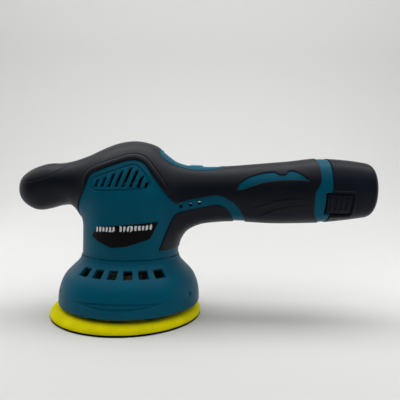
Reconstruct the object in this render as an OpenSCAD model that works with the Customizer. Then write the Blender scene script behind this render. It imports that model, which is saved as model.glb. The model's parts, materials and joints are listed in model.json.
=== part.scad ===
// Cordless random-orbit waxing polisher with a slide-in battery.
// Frame: origin on the motor axis at the face of the pad, +X to the battery, +Z up, millimetres.

/* [Pad] */
// Diameter of the backing pad
pad_d = 125; // [120:1:130]
// Distance between the motor axis and the pad axis
orbit = 2.5; // [1:0.5:3]
// Thickness of the hook layer
hook_t = 1.2; // [0.8:0.1:2]

/* [Housing] */
// Thickness of the soft grip over the plastic
skin_t = 0.8; // [0.6:0.1:1.2]
// Thickness of the plastic wall
wall_t = 2.4; // [2:0.1:3]
// Outer radius of the neck
neck_r = 40.6; // [40:0.2:42]
// Exponent of the oval sections, 2 is an ellipse
oval = 2.25; // [2:0.05:3]

/* [Motor] */
// Radius of the motor can
can_r = 21.2; // [20:0.1:22]
// Radius of the motor shaft
shaft_r = 2.5; // [2:0.1:3]
// Radius of the cooling fan
fan_r = 31; // [26:1:32]

/* [Battery] */
// Radius of one cell
cell_r = 9.2; // [9:0.1:9.3]
// Length of one cell
cell_l = 65; // [64:0.5:66]

/* [Travel] */
// Stroke of the push switch
switch_stroke = 1; // [0.5:0.1:1.2]
// Stroke of a battery latch
latch_stroke = 1.2; // [0.8:0.1:1.2]

/* [Hidden] */

teal = [0.02, 0.36, 0.42];
black = [0.10, 0.10, 0.11];
steel = [0.70, 0.71, 0.73];
copper = [0.75, 0.42, 0.22];
brass = [0.80, 0.66, 0.32];
board_green = [0.05, 0.32, 0.16];

// Side profile: crown and belly of the long body, and its half width, against x
crown = [
    [-97, 119.4], [-88, 119.9], [-78, 121.5], [-68, 123.5], [-58, 124], [-48, 126], [-36, 130.4],
    [-22, 136.3], [-10, 140.7], [2, 142.9], [12, 142.1], [21, 139.4], [29, 133], [37, 127.6],
    [46, 124.8], [60, 123.8], [80, 124.6], [110, 127.5], [132, 129.8], [154, 132.7],
    [166, 132.6], [180, 131.7], [195, 129.8], [210, 127]
];
belly = [
    [-97, 85], [-88, 84], [-78, 83.3], [-68, 85.6], [-58, 88.4], [-50, 88.6], [-44, 84.5],
    [-36, 78], [0, 70], [36, 62], [43, 66], [48, 70], [54, 73.3], [61, 75.5], [70, 76.8],
    [85, 77.9], [120, 77], [154, 78.2], [166, 79.2], [180, 81], [195, 83.4], [210, 86]
];
half_width = [
    [-97, 19], [-84, 20], [-70, 20.3], [-56, 20.8], [-44, 23], [-30, 28], [-15, 32.5], [0, 34],
    [15, 32.5], [28, 28.5], [40, 24.5], [52, 22.5], [66, 22], [90, 22.8], [120, 24.3],
    [154, 26], [166, 26.3], [180, 25.8], [195, 24.5], [210, 23]
];
nose_x = -66.5;    // where the nose starts to close
nose_l = 27.4;     // length of the rounded nose
nose_curve = [2.65, 2.36]; // powers of its rounding along and across
tail_x = 194.5;    // where the battery starts to close
tail_l = 7.6;      // length of the rounded tail
tail_curve = [2.45, 3.32];
joint_x = 162;     // plane between the housing and the battery
step_x = (joint_x - nose_x) / 27;  // spacing of the sections
ring_n = 24;       // points round one section
foot_z = 49.7;     // lower edge of the housing
dome_z = 92;       // where the neck starts to close
dome_h = 46;       // height of the dome on the neck
far = 200;         // longer than any section
reach = 30;        // depth of a box that cuts through one side

// Motor, hub and pad levels
plate_z = 43.5;
plate_t = 3.5;
can_z = plate_z + plate_t;
can_top = can_z + 62;
bearing_z = 19;
bearing_h = 8;
ball_ring_r = 9;
groove_r = 2.4;
hub_floor = 17.2;
hub_top = 42;
fan_z = 38.2;
axis_gap = 0.05;   // running clearance on a radius
pad_r = pad_d / 2;

// Screws through the two housing halves: x, z and y of the head
housing_screw_at = [[-68, 104, 8], [-28.5, 76, 15], [28.5, 76, 15], [58, 86, 9], [104, 90, 9]];
frame_r = 38.8;    // motor frame
frame_screw_r = 31;
motor_screw_x = 14.5;
vent_n = 8;        // slots in one vent panel
window_n = 6;      // windows on one side of the shroud
dimple_z = 22;     // height of the round dimples in the shroud

// Boards, push switch and terminals
board_x = 63;      // front of the control board
board_z = 98;      // its lower face
board_l = 42;
board_w = 26;
board_t = 1.6;
switch_x = 54;     // centre of the push switch
tact_z = 110.6;    // foot of the small switch on its board
tact_h = 4;        // its height with the plunger
block_x = 108.3;    // front of the terminal block
button_foot = tact_z + tact_h + switch_stroke + 0.2;
button_top = 125.2;
blade_y = 8;       // distance of a terminal blade from the middle
blade_z = 100.2;   // lower edge of a blade
blade_h = 7.6;
blade_t = 0.8;

// Battery: thumb latches, cells and tower
latch_x = 158;     // front of a latch
latch_z = 87.3;    // lower edge of a latch
latch_l = 19.9;
latch_h = 15.4;
latch_t = 2.7;     // thickness of its thumb plate
cup_gap = 0.3;     // joint between the housing and the battery
cup_inset = 0.2;   // depth of the cup's surface below the grip's
cup_x = joint_x + cup_gap;
cell_at = [[-9.25, -7.3], [9.25, -7.3], [0, 8.7]];
cell_z = 105;      // centre of the cell bundle
cell_x = 124.3;    // front of the cells
tower_x = 119.3;   // front of the battery tower
tower_wall = 1.6;
plate_l = 2.7;     // thickness of the tower's end plate
tab_t = 0.2;       // thickness of the tabs welded to the cells
tower_screw = [9, 125];

// ---- curves and sweeps ----

function span(t, x, i = 0) = i + 2 >= len(t) || x <= t[i + 1][0] ? i : span(t, x, i + 1);
function slope(t, i) =
    let (a = max(i - 1, 0), b = min(i + 1, len(t) - 1))
    (t[b][1] - t[a][1]) / (t[b][0] - t[a][0]);
// Smooth curve through the points of a profile
function curve(t, x) =
    let (i = span(t, x), h = t[i + 1][0] - t[i][0], u = (x - t[i][0]) / h)
    (2 * u^3 - 3 * u^2 + 1) * t[i][1] + (u^3 - 2 * u^2 + u) * h * slope(t, i)
    + (3 * u^2 - 2 * u^3) * t[i + 1][1] + (u^3 - u^2) * h * slope(t, i + 1);
function rounded(v) = sign(v) * pow(abs(v), 2 / oval);
function end_curve(s, curve) = pow(max(0, 1 - pow(s, curve[0])), 1 / curve[1]);
function closing(x, inset) =
    x < nose_x ? end_curve((nose_x - x) / (nose_l - inset), nose_curve)
    : x > tail_x ? end_curve((x - tail_x) / (tail_l - inset), tail_curve)
    : 1;
function centre_z(x) = (curve(crown, x) + curve(belly, x)) / 2;
function section(x, inset, n) =
    let (k = closing(x, inset), w = curve(half_width, x) - inset)
    let (h = (curve(crown, x) - curve(belly, x)) / 2 - inset)
    [for (i = [0 : n - 1]) let (a = 360 * i / n)
        [x, k * w * rounded(cos(a)), centre_z(x) + k * h * rounded(sin(a))]];

// Skin over a list of closed rings, each counter-clockwise seen from the far end
module loft(rings) {
    n = len(rings[0]);
    last = len(rings) - 1;
    points = [for (r = rings) for (p = r) p];
    sides = [for (i = [0 : last - 1]) for (k = [0 : n - 1])
        let (a = i * n + k, b = i * n + (k + 1) % n)
        for (f = [[a, a + n, b + n], [a, b + n, b]]) f];
    caps = [[for (k = [0 : n - 1]) k], [for (k = [n - 1 : -1 : 0]) last * n + k]];
    polyhedron(points = points, faces = concat(sides, caps), convexity = 8);
}

function unit(v) = v / norm(v);
function heading(p, i) = unit(p[min(i + 1, len(p) - 1)] - p[max(i - 1, 0)]);
// Round tube along a path, its rings turned about the direction up
module tube(path, r, up, sides = 8) {
    loft([for (i = [0 : len(path) - 1])
        let (t = heading(path, i), a = unit(cross(up, t)), b = cross(t, a))
        [for (k = [0 : sides - 1]) let (g = 360 * k / sides)
            path[i] + r * (cos(g) * a + sin(g) * b)]]);
}

// Compression spring standing on the origin along +Z
module coil_spring(r, h, turns, wire_r) {
    n = turns * 10;
    tube([for (i = [0 : n]) let (a = 360 * turns * i / n)
        [r * cos(a), r * sin(a), wire_r + (h - 2 * wire_r) * i / n]], wire_r, [0, 0, 1], 6);
}

// ---- shared body shapes ----

function nose_stations(inset) =
    [for (a = [84, 68, 54, 40, 26, 12]) nose_x - (nose_l - inset) * sin(a)];
function tail_stations(inset) =
    [for (s = [0.2, 0.42, 0.62, 0.78, 0.9, 0.97, 0.995]) tail_x + (tail_l - inset) * s];
// Places of the sections from a to b, on one grid for every body so that their skins agree
function stations(a, b) =
    let (first = ceil((a - nose_x) / step_x + 0.01), last = ceil((b - nose_x) / step_x - 0.01) - 1)
    concat([a], first > last ? [] : [for (k = [first : last]) nose_x + k * step_x], [b]);

module long_body(inset, end_x) {
    loft([for (x = concat(nose_stations(inset), stations(nose_x, end_x))) section(x, inset, ring_n)]);
}
module neck_body(inset, base_z) {
    r = neck_r - inset;
    rotate_extrude($fn = 40)
        polygon(concat([[0, base_z], [r, base_z]],
            [for (a = [0 : 15 : 75]) [r * cos(a), dome_z + (dome_h - inset) * sin(a)]],
            [[0, dome_z + dome_h - inset]]));
}
module whole_body(inset, end_x = joint_x, base_z = foot_z) {
    long_body(inset, end_x);
    neck_body(inset, base_z);
}
// Prism of a side outline, through the whole width or on one side only
module side_prism(points, side = 0) {
    translate([0, side > 0 ? far : side < 0 ? 0 : far / 2, 0])
        rotate([90, 0, 0]) linear_extrude(far) polygon(points);
}
module half_space(side) {
    translate([-far, side > 0 ? 0 : -far, 0]) cube([3 * far, far, far]);
}
// Box on one side of the body, from y_in outwards
module side_box(x, z, l, h, y_in, side) {
    translate([x, side > 0 ? y_in : -y_in - reach, z]) cube([l, reach, h]);
}
// Hole or post across the body at x, z from y = a to y = b
module cross_rod(x, z, r, a, b) {
    translate([x, max(a, b), z]) rotate([90, 0, 0]) cylinder(r = r, h = abs(b - a), $fn = 16);
}

// ---- side outlines, x and z ----

// Soft grip over the nose, spine and handle
grip_outline = [
    [-110, 60], [-41, 60], [-41, 86], [-38, 92], [-34, 101], [-29.5, 112.5], [-23.5, 117.5],
    [-8, 122.6], [1.5, 126], [8.5, 126.4], [13, 124.6], [16, 121.8], [26, 107.4], [34.5, 96.8],
    [38.5, 93], [44, 94.5], [58.5, 98], [68.5, 99.8], [73, 99.9], [77, 98.8], [86, 93.3],
    [91, 85], [97, 70], [160, 70], [152.5, 82], [149.8, 86], [148.2, 91], [148.2, 104],
    [149.6, 107.4], [152, 111], [152.8, 116], [152.6, 126], [150, 160], [-110, 160]
];
// Lower grip for the fingers behind the neck
finger_outline = [
    [27.5, 56.7], [31, 68], [35, 78], [37.5, 83], [40, 85.2], [43, 86.4], [56, 89.2],
    [66, 91.5], [71, 92.2], [74.5, 91.8], [77.5, 90.4], [80, 87.9], [83.2, 83.4], [88, 74],
    [60, 50], [42, 52], [40, 55.5], [33.6, 56.6]
];
// Window in the handle grip
crescent_outline = [
    [86, 104.3], [86, 106.3], [91, 112], [97.5, 115.6], [105, 118.3], [111, 119.5], [117, 120],
    [120, 117.7], [125.5, 117.7], [127.8, 120.8], [131, 121.1], [134.6, 120.1], [138.7, 117.4],
    [142.5, 114.2], [138, 113.8], [128, 114], [118, 113.1], [108, 111.6], [101, 109.3],
    [93.5, 106.3]
];
// Trim panel in the saddle
trim_outline = [
    [24.3, 160], [24.3, 135.8], [25.4, 132], [28, 128], [33, 125], [43, 121.6], [50, 120.3],
    [58, 120], [66, 120.7], [77, 123.4], [80, 160]
];
// Seam of the palm pad on the nose
palm_outline = [
    [-110, 106.6], [-92, 106.8], [-78, 108.4], [-68, 110.8], [-61, 114.2], [-50, 122], [-43.5, 126.3],
    [-40, 140], [-110, 140]
];
// Sticker on the neck
label_outline = [[-26, 67], [-21, 74.5], [26.5, 79], [20.5, 66], [3, 60.5], [-9, 59], [-20, 63.5]];
// Two grooves in the handle grip
groove_lines = [
    [[99, 90.7], [109, 94], [119, 97.3], [129, 98.8], [139, 99.3]],
    [[106, 84.4], [113, 88.3], [120, 90.8], [129, 92.8], [139, 94]]
];
// Height of the top of the vent panel
function vent_top(x) = min(110.5 + 0.39 * (x + 22), 121 - 0.95 * (x - 5));

module vent_slots() {
    slant = 0.35;
    pitch = 5.65;
    for (i = [0 : vent_n - 1]) {
        x = -23 + pitch * i;
        h = (vent_top(x + 3) - 105) * 0.95;
        side_prism([[x - 1.2, 105], [x + 1.2, 105], [x + 1.2 + slant * h, 105 + h],
            [x - 1.2 + slant * h, 105 + h]]);
    }
}
module band_vents() {
    for (p = [[43.1, 90.4], [50.3, 91.9], [57.1, 93.5]])
        translate([p[0], far / 2, p[1]]) rotate([90, 0, 0])
            linear_extrude(far) square(2.4, center = true);
}
module latch_notch() {
    for (s = [-1, 1]) side_box(latch_x - 1.2, latch_z - 1.3, far, latch_h + 2.8, 14, s);
}
module button_hole(grow) {
    translate([switch_x, 0, 112]) linear_extrude(30) for (s = [-1, 1]) {
        translate([2.4 * s, 0]) circle(r = 3.6 + grow, $fn = 32);
        square([4.8, 7.2 + 2 * grow], center = true);
    }
}

// ---- housing and grips ----

// Screw post with a gusset along the body on each side
module screw_post(x, z, side) {
    cross_rod(x, z, 3.8, side * 0.05, side * 40);
    for (g = [-1, 1]) hull() {
        cross_rod(x, z, 1, side * 0.05, side * 40);
        cross_rod(x + 6 * g, z, 0.7, side * 12, side * 40);
    }
}
module motor_cradle(z, side) {
    difference() {
        translate([0, 0, z]) cylinder(r = neck_r - skin_t - 1, h = 2.4, $fn = 40);
        translate([0, 0, z - 1]) cylinder(r = can_r + 0.3, h = 5, $fn = 40);
        translate([-far / 2, side > 0 ? -far : 0, z - 1]) cube([far, far, 5]);
        for (s = [-1, 1]) translate([s * 27, 0, z - 1]) cylinder(r = 5.2, h = 5, $fn = 16);
    }
}
// Rib under a board, from y_in to the wall
module board_rest(x, z, h, y_in, side) {
    side_box(x - 1, z - h, 2, h, y_in, side);
}
module housing_inside(side) {
    intersection() {
        union() {
            for (p = housing_screw_at) screw_post(p[0], p[1], side);
            motor_cradle(64, side);
            motor_cradle(98, side);
            for (x = [-9, 9]) board_rest(switch_x + x, tact_z - board_t, 5, 5.5, side);
            for (x = [6, 24]) board_rest(board_x + x, board_z, 4, board_w / 2 - 2, side);
            board_rest(block_x + 3.5, board_z - 4, 5, 9, side);
            for (a = [45, 135])
                rotate(side * a) {
                    translate([frame_screw_r, 0, can_z + 0.05])
                        cylinder(r = 4.6, h = 15, $fn = 16);
                    translate([frame_screw_r, -2, foot_z + 1]) cube([7.5, 4, 11.3]);
                }
        }
        union() {
            whole_body(skin_t + 1);
            translate([0, 0, can_z]) cylinder(r = 36, h = 20, $fn = 40);
        }
        translate([-far, side > 0 ? 0.05 : -far, 0]) cube([2 * far, far - 0.05, far]);
    }
}
module housing_shell(side) {
    difference() {
        intersection() {
            whole_body(skin_t);
            half_space(side);
        }
        whole_body(skin_t + wall_t, joint_x + 8, foot_z - 3);
    }
}
module housing(side) {
    color(teal) difference() {
        union() {
            housing_shell(side);
            housing_inside(side);
        }
        vent_slots();
        band_vents();
        latch_notch();
        button_hole(0.4);
        intersection() {
            side_prism(trim_outline);
            difference() {
                long_body(-1, joint_x - 40);
                long_body(skin_t + 0.9, joint_x - 30);
            }
        }
        for (a = [45, 135])
            rotate(side * a) translate([frame_screw_r, 0, can_z - 1])
                cylinder(r = 1.5, h = 15, $fn = 16);
        for (p = housing_screw_at) {
            if (side > 0) {
                cross_rod(p[0], p[1], 1.6, -1, p[2] + 1);
                cross_rod(p[0], p[1], 3.4, p[2], 60);
            } else {
                cross_rod(p[0], p[1], 1.45, 1, p[2] - 17);
            }
        }
    }
}
module left_housing() { housing(-1); }
module right_housing() { housing(1); }

module groove_cutters() {
    for (line = groove_lines) for (i = [0 : len(line) - 2])
        rotate([90, 0, 0]) linear_extrude(far, center = true) hull() {
            translate(line[i]) circle(r = 0.45, $fn = 8);
            translate(line[i + 1]) circle(r = 0.45, $fn = 8);
        }
}
module overmould(side) {
    color(black) difference() {
        intersection() {
            whole_body(0);
            side_prism(grip_outline, side);
        }
        whole_body(skin_t, joint_x + 8, foot_z - 3);
        side_prism(palm_outline);
        side_prism(trim_outline);
        side_prism(crescent_outline);
        difference() {
            groove_cutters();
            long_body(skin_t / 2, joint_x);
        }
        if (side > 0) for (p = housing_screw_at) cross_rod(p[0], p[1], 3.8, 0, 60);
    }
}
module left_overmould() { overmould(-1); }
module right_overmould() { overmould(1); }

module finger_grip(side) {
    color(black) difference() {
        intersection() {
            whole_body(0, 96);
            side_prism(finger_outline, side);
            translate([20, -50, 50]) cube([80, 100, 60]);
        }
        whole_body(skin_t, 104, foot_z - 3);
        if (side > 0) for (p = housing_screw_at) cross_rod(p[0], p[1], 3.8, 0, 60);
    }
}
module left_finger_grip() { finger_grip(-1); }
module right_finger_grip() { finger_grip(1); }

module palm_pad() {
    color(black) difference() {
        intersection() {
            long_body(0, -30);
            side_prism(palm_outline);
        }
        long_body(skin_t, -22);
    }
}
module saddle_trim() {
    color(teal) difference() {
        intersection() {
            long_body(0.1, 90);
            side_prism(trim_outline);
        }
        long_body(skin_t + 0.8, 98);
        button_hole(0.25);
    }
}
module label_plate() {
    color(black) intersection() {
        difference() {
            translate([0, 0, 50]) cylinder(r = neck_r - skin_t + 0.5, h = 40);
            translate([0, 0, 49]) cylinder(r = neck_r - skin_t + 0.02, h = 42);
        }
        side_prism(label_outline, -1);
    }
}
module housing_screws() {
    color(steel) for (p = housing_screw_at) {
        difference() {
            cross_rod(p[0], p[1], 2.8, p[2], p[2] + 2.2);
            for (a = [0, 90]) translate([p[0], p[2] + 2, p[1]]) rotate([0, a, 0])
                cube([3.4, 1.8, 0.7], center = true);
        }
        cross_rod(p[0], p[1], 1.4, p[2] - 16, p[2]);
    }
}

// ---- shroud and motor frame ----

shroud_outside = [
    [40.6, 49.5], [41, 47.5], [41.9, 45.5], [43.6, 43.2], [46.3, 40.5], [49.3, 37.5],
    [52.2, 34.5], [54.4, 31.2], [56.2, 27], [57.5, 22.5], [58.2, 18], [58.5, 10.8]
];
shroud_inside = [
    [56, 10.8], [55.7, 18], [55, 22.5], [53.7, 27], [51.9, 31.2], [49.7, 34.5],
    [46.8, 37.5], [43.8, 40.5], [41.3, 42.8], [39.2, 44.8], [39.2, 47.1], [36.3, 47.1], [36.3, 49.5]
];
module shroud() {
    fan_out = 0.06;
    color(teal) difference() {
        rotate_extrude() polygon(concat(shroud_outside, shroud_inside));
        for (i = [0 : window_n - 1]) {
            x = 11.2 * (i - (window_n - 1) / 2);
            side_prism([[x * (1 + fan_out) - 3.7, 37.5], [x * (1 + fan_out) + 3.7, 37.5],
                [x * (1 - fan_out) + 3.3, 43], [x * (1 - fan_out) - 3.3, 43]]);
        }
        for (a = [-27, 27, 153, 207])
            rotate(a) translate([56.5, 0, dimple_z]) rotate([0, 90, 0]) cylinder(r = 2.1, h = 5);
        for (a = [52, 232], g = [[58.2, 21.5], [58.7, 18]])
            rotate(a) rotate_extrude(angle = 76) translate(g) circle(r = 0.8, $fn = 24);
    }
}
module motor_frame() {
    color(black) difference() {
        translate([0, 0, plate_z]) cylinder(r = frame_r, h = plate_t);
        translate([0, 0, plate_z - 1]) cylinder(r = 8.8, h = plate_t + 2);
        for (s = [-1, 1]) translate([s * motor_screw_x, 0, plate_z]) {
            translate([0, 0, -1]) cylinder(r = 2.1, h = plate_t + 2);
            translate([0, 0, -0.01]) cylinder(r1 = 4, r2 = 2.1, h = 2.2);
        }
        for (a = [45 : 90 : 315]) rotate(a) translate([frame_screw_r, 0, plate_z]) {
            translate([0, 0, -1]) cylinder(r = 1.6, h = plate_t + 2);
            translate([0, 0, -0.01]) cylinder(r1 = 3.2, r2 = 1.6, h = 2);
        }
        for (a = [0 : 90 : 270]) rotate(a - 24) translate([0, 0, plate_z - 1])
            rotate_extrude(angle = 48) translate([25, 0]) square([11, plate_t + 2]);
    }
}
module countersunk(head_r, r, head_h, l) {
    difference() {
        union() {
            cylinder(r1 = head_r, r2 = r, h = head_h);
            cylinder(r = r, h = l);
        }
        for (a = [0, 90]) rotate(a) translate([-head_r * 0.55, -0.4, -0.01])
            cube([head_r * 1.1, 0.8, 1.1]);
    }
}
module frame_screws() {
    color(steel) for (a = [45 : 90 : 315])
        rotate(a) translate([frame_screw_r, 0, plate_z]) countersunk(3.1, 1.45, 1.9, 17);
}
module motor_screws() {
    color(steel) for (s = [-1, 1])
        translate([s * motor_screw_x, 0, plate_z]) countersunk(3.9, 1.95, 2.1, 7.5);
}

// ---- motor, fixed parts ----

module motor_can() {
    color(steel) difference() {
        rotate_extrude() polygon([
            [4, can_z - 4.5], [8.7, can_z - 4.5], [8.7, can_z], [can_r, can_z],
            [can_r, can_top], [can_r - 1.6, can_top], [can_r - 1.6, can_z + 2],
            [6.05, can_z + 2], [6.05, can_z - 4], [4, can_z - 4]
        ]);
        for (s = [-1, 1]) translate([s * motor_screw_x, 0, can_z - 1]) cylinder(r = 2, h = 4);
        for (a = [45 : 90 : 315]) rotate(a) translate([15, 0, can_z + 6])
            rotate([0, 90, 0]) cylinder(r = 3, h = 10);
    }
}
module motor_magnets() {
    color([0.25, 0.25, 0.27]) for (a = [25, 205]) rotate(a) translate([0, 0, can_z + 11])
        rotate_extrude(angle = 130) translate([15.2, 0]) square([4.3, 40]);
}
module motor_end_bell() {
    top = can_top + 7;
    color(black) rotate_extrude() polygon([
        [3.5, top + 4], [8, top + 4], [8, top], [can_r, top], [can_r, can_top + 0.1],
        [can_r - 1.8, can_top + 0.1], [can_r - 1.8, can_top + 3.5], [6.05, can_top + 3.5],
        [6.05, top + 3.5], [3.5, top + 3.5]
    ]);
}
module ring(r_in, r_out, z, h) {
    translate([0, 0, z]) difference() {
        cylinder(r = r_out, h = h);
        translate([0, 0, -1]) cylinder(r = r_in, h = h + 2);
    }
}
module motor_bearings() {
    color(steel) {
        ring(shaft_r + axis_gap, 6, can_z - 3.9, 5);
        ring(shaft_r + axis_gap, 6, can_top + 5.4, 5);
    }
}
module brush_holders() {
    color(brass) for (s = [-1, 1]) difference() {
        translate([-3.2, s * 12.5 - 5.5, can_top - 6.4]) cube([6.4, 11, 9.8]);
        translate([-2.5, s * 12.5 - 6.5, can_top - 5.6]) cube([5, 13, 4.4]);
    }
}
module carbon_brushes() {
    color([0.15, 0.15, 0.16]) for (s = [-1, 1])
        translate([-2.4, s * 10.2 - 4.4, can_top - 5.5]) cube([4.8, 8.8, 4.2]);
}
module motor_terminals() {
    color(brass) for (s = [-1, 1])
        translate([s * 13 - 2.4, -0.4, can_top + 7]) cube([4.8, 0.8, 6.5]);
}
// Routes of the leads from the motor's terminals to the control board
lead_red = [
    [13, 1.4, 123], [18, 3, 125], [26, 4, 123], [33, 5, 117], [38, 8, 109], [43, 9, 102.5],
    [52, 9, 100], [62, 8, 101], [70, 7, 101.2], [75, 6, 101.2]
];
lead_black = [
    [-13, 1.4, 123], [-8, 3, 127], [2, -6, 128], [14, -10, 126], [26, -10, 121], [33, -10, 115],
    [38, -11, 108], [43, -11, 102.5], [52, -10, 100], [62, -8, 101], [70, -7, 101.2],
    [75, -6, 101.2]
];
module motor_leads() {
    color([0.7, 0.1, 0.1]) tube(lead_red, 1, [0, 1, 0]);
    color(black) tube(lead_black, 1, [0, 1, 0]);
}

// ---- boards ----

module control_board() {
    color(board_green) translate([board_x, -board_w / 2, board_z]) cube([board_l, board_w, board_t]);
}
// Heat sink, two capacitors, the controller and a connector
module board_parts() {
    color([0.3, 0.3, 0.32]) translate([board_x, 0, board_z + board_t]) {
        translate([14, -9, 0]) cube([16, 8, 10]);
        for (y = [3, 9]) translate([18, y, 0]) cylinder(r = 2.5, h = 9);
        translate([26, 2, 0]) cube([5, 5, 1.2]);
        translate([34, -8, 0]) cube([5, 16, 5]);
    }
}
module button_board() {
    color(board_green) translate([switch_x - 12, -7, tact_z - board_t]) cube([24, 14, board_t]);
}
module tact_switch() {
    color(steel) translate([switch_x, 0, tact_z]) {
        translate([-3, -3, 0]) cube([6, 6, tact_h - 0.8]);
        cylinder(r = 1.5, h = tact_h);
    }
}
module terminal_block() {
    color(black) difference() {
        translate([block_x, -board_w / 2, board_z - 4]) cube([7, board_w, 24]);
        for (s = [-1, 1]) translate([block_x - 1, s * blade_y - 0.5, blade_z - 0.2])
            cube([9, 1, blade_h + 0.4]);
    }
}
module terminal_blades() {
    color(brass) for (s = [-1, 1]) translate([block_x - 2.5, s * blade_y - blade_t / 2, blade_z])
        cube([17.3, blade_t, blade_h]);
}

// ---- rotor ----

module motor_shaft() {
    color(steel) translate([0, 0, 31.6]) cylinder(r = shaft_r, h = 86.4);
}
module armature_core() {
    color([0.45, 0.45, 0.47]) difference() {
        ring(shaft_r, 14.6, can_z + 15, 32);
        for (a = [0 : 72 : 288]) rotate(a) translate([7, -1.6, can_z + 14]) cube([9, 3.2, 34]);
    }
}
module armature_windings() {
    color(copper) {
        for (a = [0 : 72 : 288]) rotate(a) translate([7.1, -1.5, can_z + 15]) cube([7, 3, 32]);
        for (z = [can_z + 10.5, can_z + 47.05]) ring(5.2, 12.6, z, 4.4);
    }
}
module commutator() {
    color(copper) difference() {
        ring(shaft_r, 5.5, can_top - 8, 9);
        for (a = [0 : 72 : 288]) rotate(a) translate([4.3, -0.25, can_top - 9]) cube([3, 0.5, 11]);
    }
}
module eccentric_hub() {
    color(steel) difference() {
        union() {
            translate([-orbit, 0, hub_floor]) cylinder(r = 17, h = 33 - hub_floor);
            translate([0, 0, 31]) cylinder(r = 9, h = hub_top - 31);
            translate([0, 0, 32]) rotate(-64) rotate_extrude(angle = 128) square([33, 5.8]);
        }
        translate([-orbit, 0, hub_floor - 1]) cylinder(r = 13, h = bearing_z + bearing_h - hub_floor + 1);
        translate([-orbit, 0, 17.95]) cylinder(r = 13.6, h = 1);
        translate([-orbit, 0, 20]) cylinder(r = 8.6, h = 11);
        translate([0, 0, 30]) cylinder(r = shaft_r, h = 20);
        translate([0, 0, 36]) rotate([0, -90, 0]) cylinder(r = 2, h = 12);
    }
}
module hub_screw() {
    color(black) translate([-shaft_r, 0, 36]) rotate([0, -90, 0]) difference() {
        cylinder(r = 1.95, h = 5.5);
        translate([0, 0, 3.5]) cylinder(r = 1, h = 3, $fn = 6);
    }
}
module cooling_fan() {
    color([0.2, 0.2, 0.22]) {
        ring(9.1, fan_r, fan_z, 1.2);
        for (a = [0 : 30 : 330]) rotate(a) translate([13, 0, fan_z + 1.2]) rotate(-20)
            cube([16, 1.2, 3]);
    }
}
module bearing_race(r_in, r_out) {
    translate([-orbit, 0, 0]) difference() {
        ring(r_in, r_out, bearing_z, bearing_h);
        translate([0, 0, bearing_z + bearing_h / 2]) rotate_extrude()
            translate([ball_ring_r, 0]) circle(r = groove_r, $fn = 32);
    }
}
module bearing_outer() { color(steel) bearing_race(10.6, 13); }
module bearing_inner() { color(steel) bearing_race(5, 7.4); }
module bearing_balls() {
    color(steel) translate([-orbit, 0, bearing_z + bearing_h / 2])
        for (a = [0 : 40 : 320]) rotate(a) translate([ball_ring_r, 0, 0])
            sphere(r = groove_r - axis_gap, $fn = 24);
}
// Split ring with its gap on +X
module snap_ring(r_in, r_out, z, h) {
    translate([-orbit, 0, 0]) difference() {
        ring(r_in, r_out, z, h);
        translate([0, -1.5, z - 1]) cube([r_out + 1, 3, h + 2]);
    }
}
module bearing_clip() { color(steel) snap_ring(11.2, 13.5, 18, 0.9); }
module spindle_clip() { color(steel) snap_ring(4.25, 7, 27.15, 0.9); }

// ---- pad ----

module about_pad_axis() { translate([-orbit, 0, 0]) rotate_extrude() children(); }
module pad_spindle() {
    color(steel) about_pad_axis() polygon([
        [4.05, 16], [10, 16], [10, 18], [6.8, 18], [6.8, 19], [5, 19], [5, 27.1],
        [4.2, 27.1], [4.2, 28.1], [5, 28.1], [5, 29.4], [0, 29.4], [0, 25], [4.05, 25]
    ]);
}
module pad_stud() {
    color(steel) about_pad_axis() polygon([
        [0, 8.4], [7, 8.4], [7, 10.4], [3.95, 10.4], [3.95, 24.6], [0, 24.6]
    ]);
}
module pad_base() {
    color(black) {
        about_pad_axis() polygon([
            [7.05, 8.2], [32, 8.2], [32, 12], [14, 12], [12, 14], [12, 16], [4, 16],
            [4, 10.5], [7.05, 10.5]
        ]);
        translate([-orbit, 0, 0]) for (a = [0 : 45 : 315]) rotate(a)
            translate([13.5, -0.9, 12]) cube([16, 1.8, 1.8]);
    }
}
module pad_foam() {
    color([0.85, 0.82, 0.05]) about_pad_axis() polygon([
        [0, hook_t], [pad_r, hook_t], [pad_r - 0.6, 2.6], [pad_r - 4, 6.2],
        [45, 9.2], [32.1, 9.8], [32.1, 8.2], [0, 8.2]
    ]);
}
module hook_face() {
    color(black) translate([-orbit, 0, 0]) cylinder(r = pad_r, h = hook_t);
}

// ---- push switch ----

module switch_button() {
    color([0.3, 0.6, 0.62]) {
        intersection() {
            button_hole(0);
            translate([switch_x - 15, -15, button_foot + 2.2])
                cube([30, 30, button_top - button_foot - 2.2]);
        }
        translate([switch_x, 0, button_foot + 1.2]) cylinder(r = 6.2, h = 1);
        translate([switch_x, 0, button_foot]) cylinder(r = 1.5, h = 1.2);
    }
}
module switch_spring() {
    color(steel) translate([switch_x, 0, tact_z + 0.1])
        coil_spring(4.7, button_foot + 1.1 - tact_z, 3, 0.3);
}

// ---- battery ----

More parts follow.
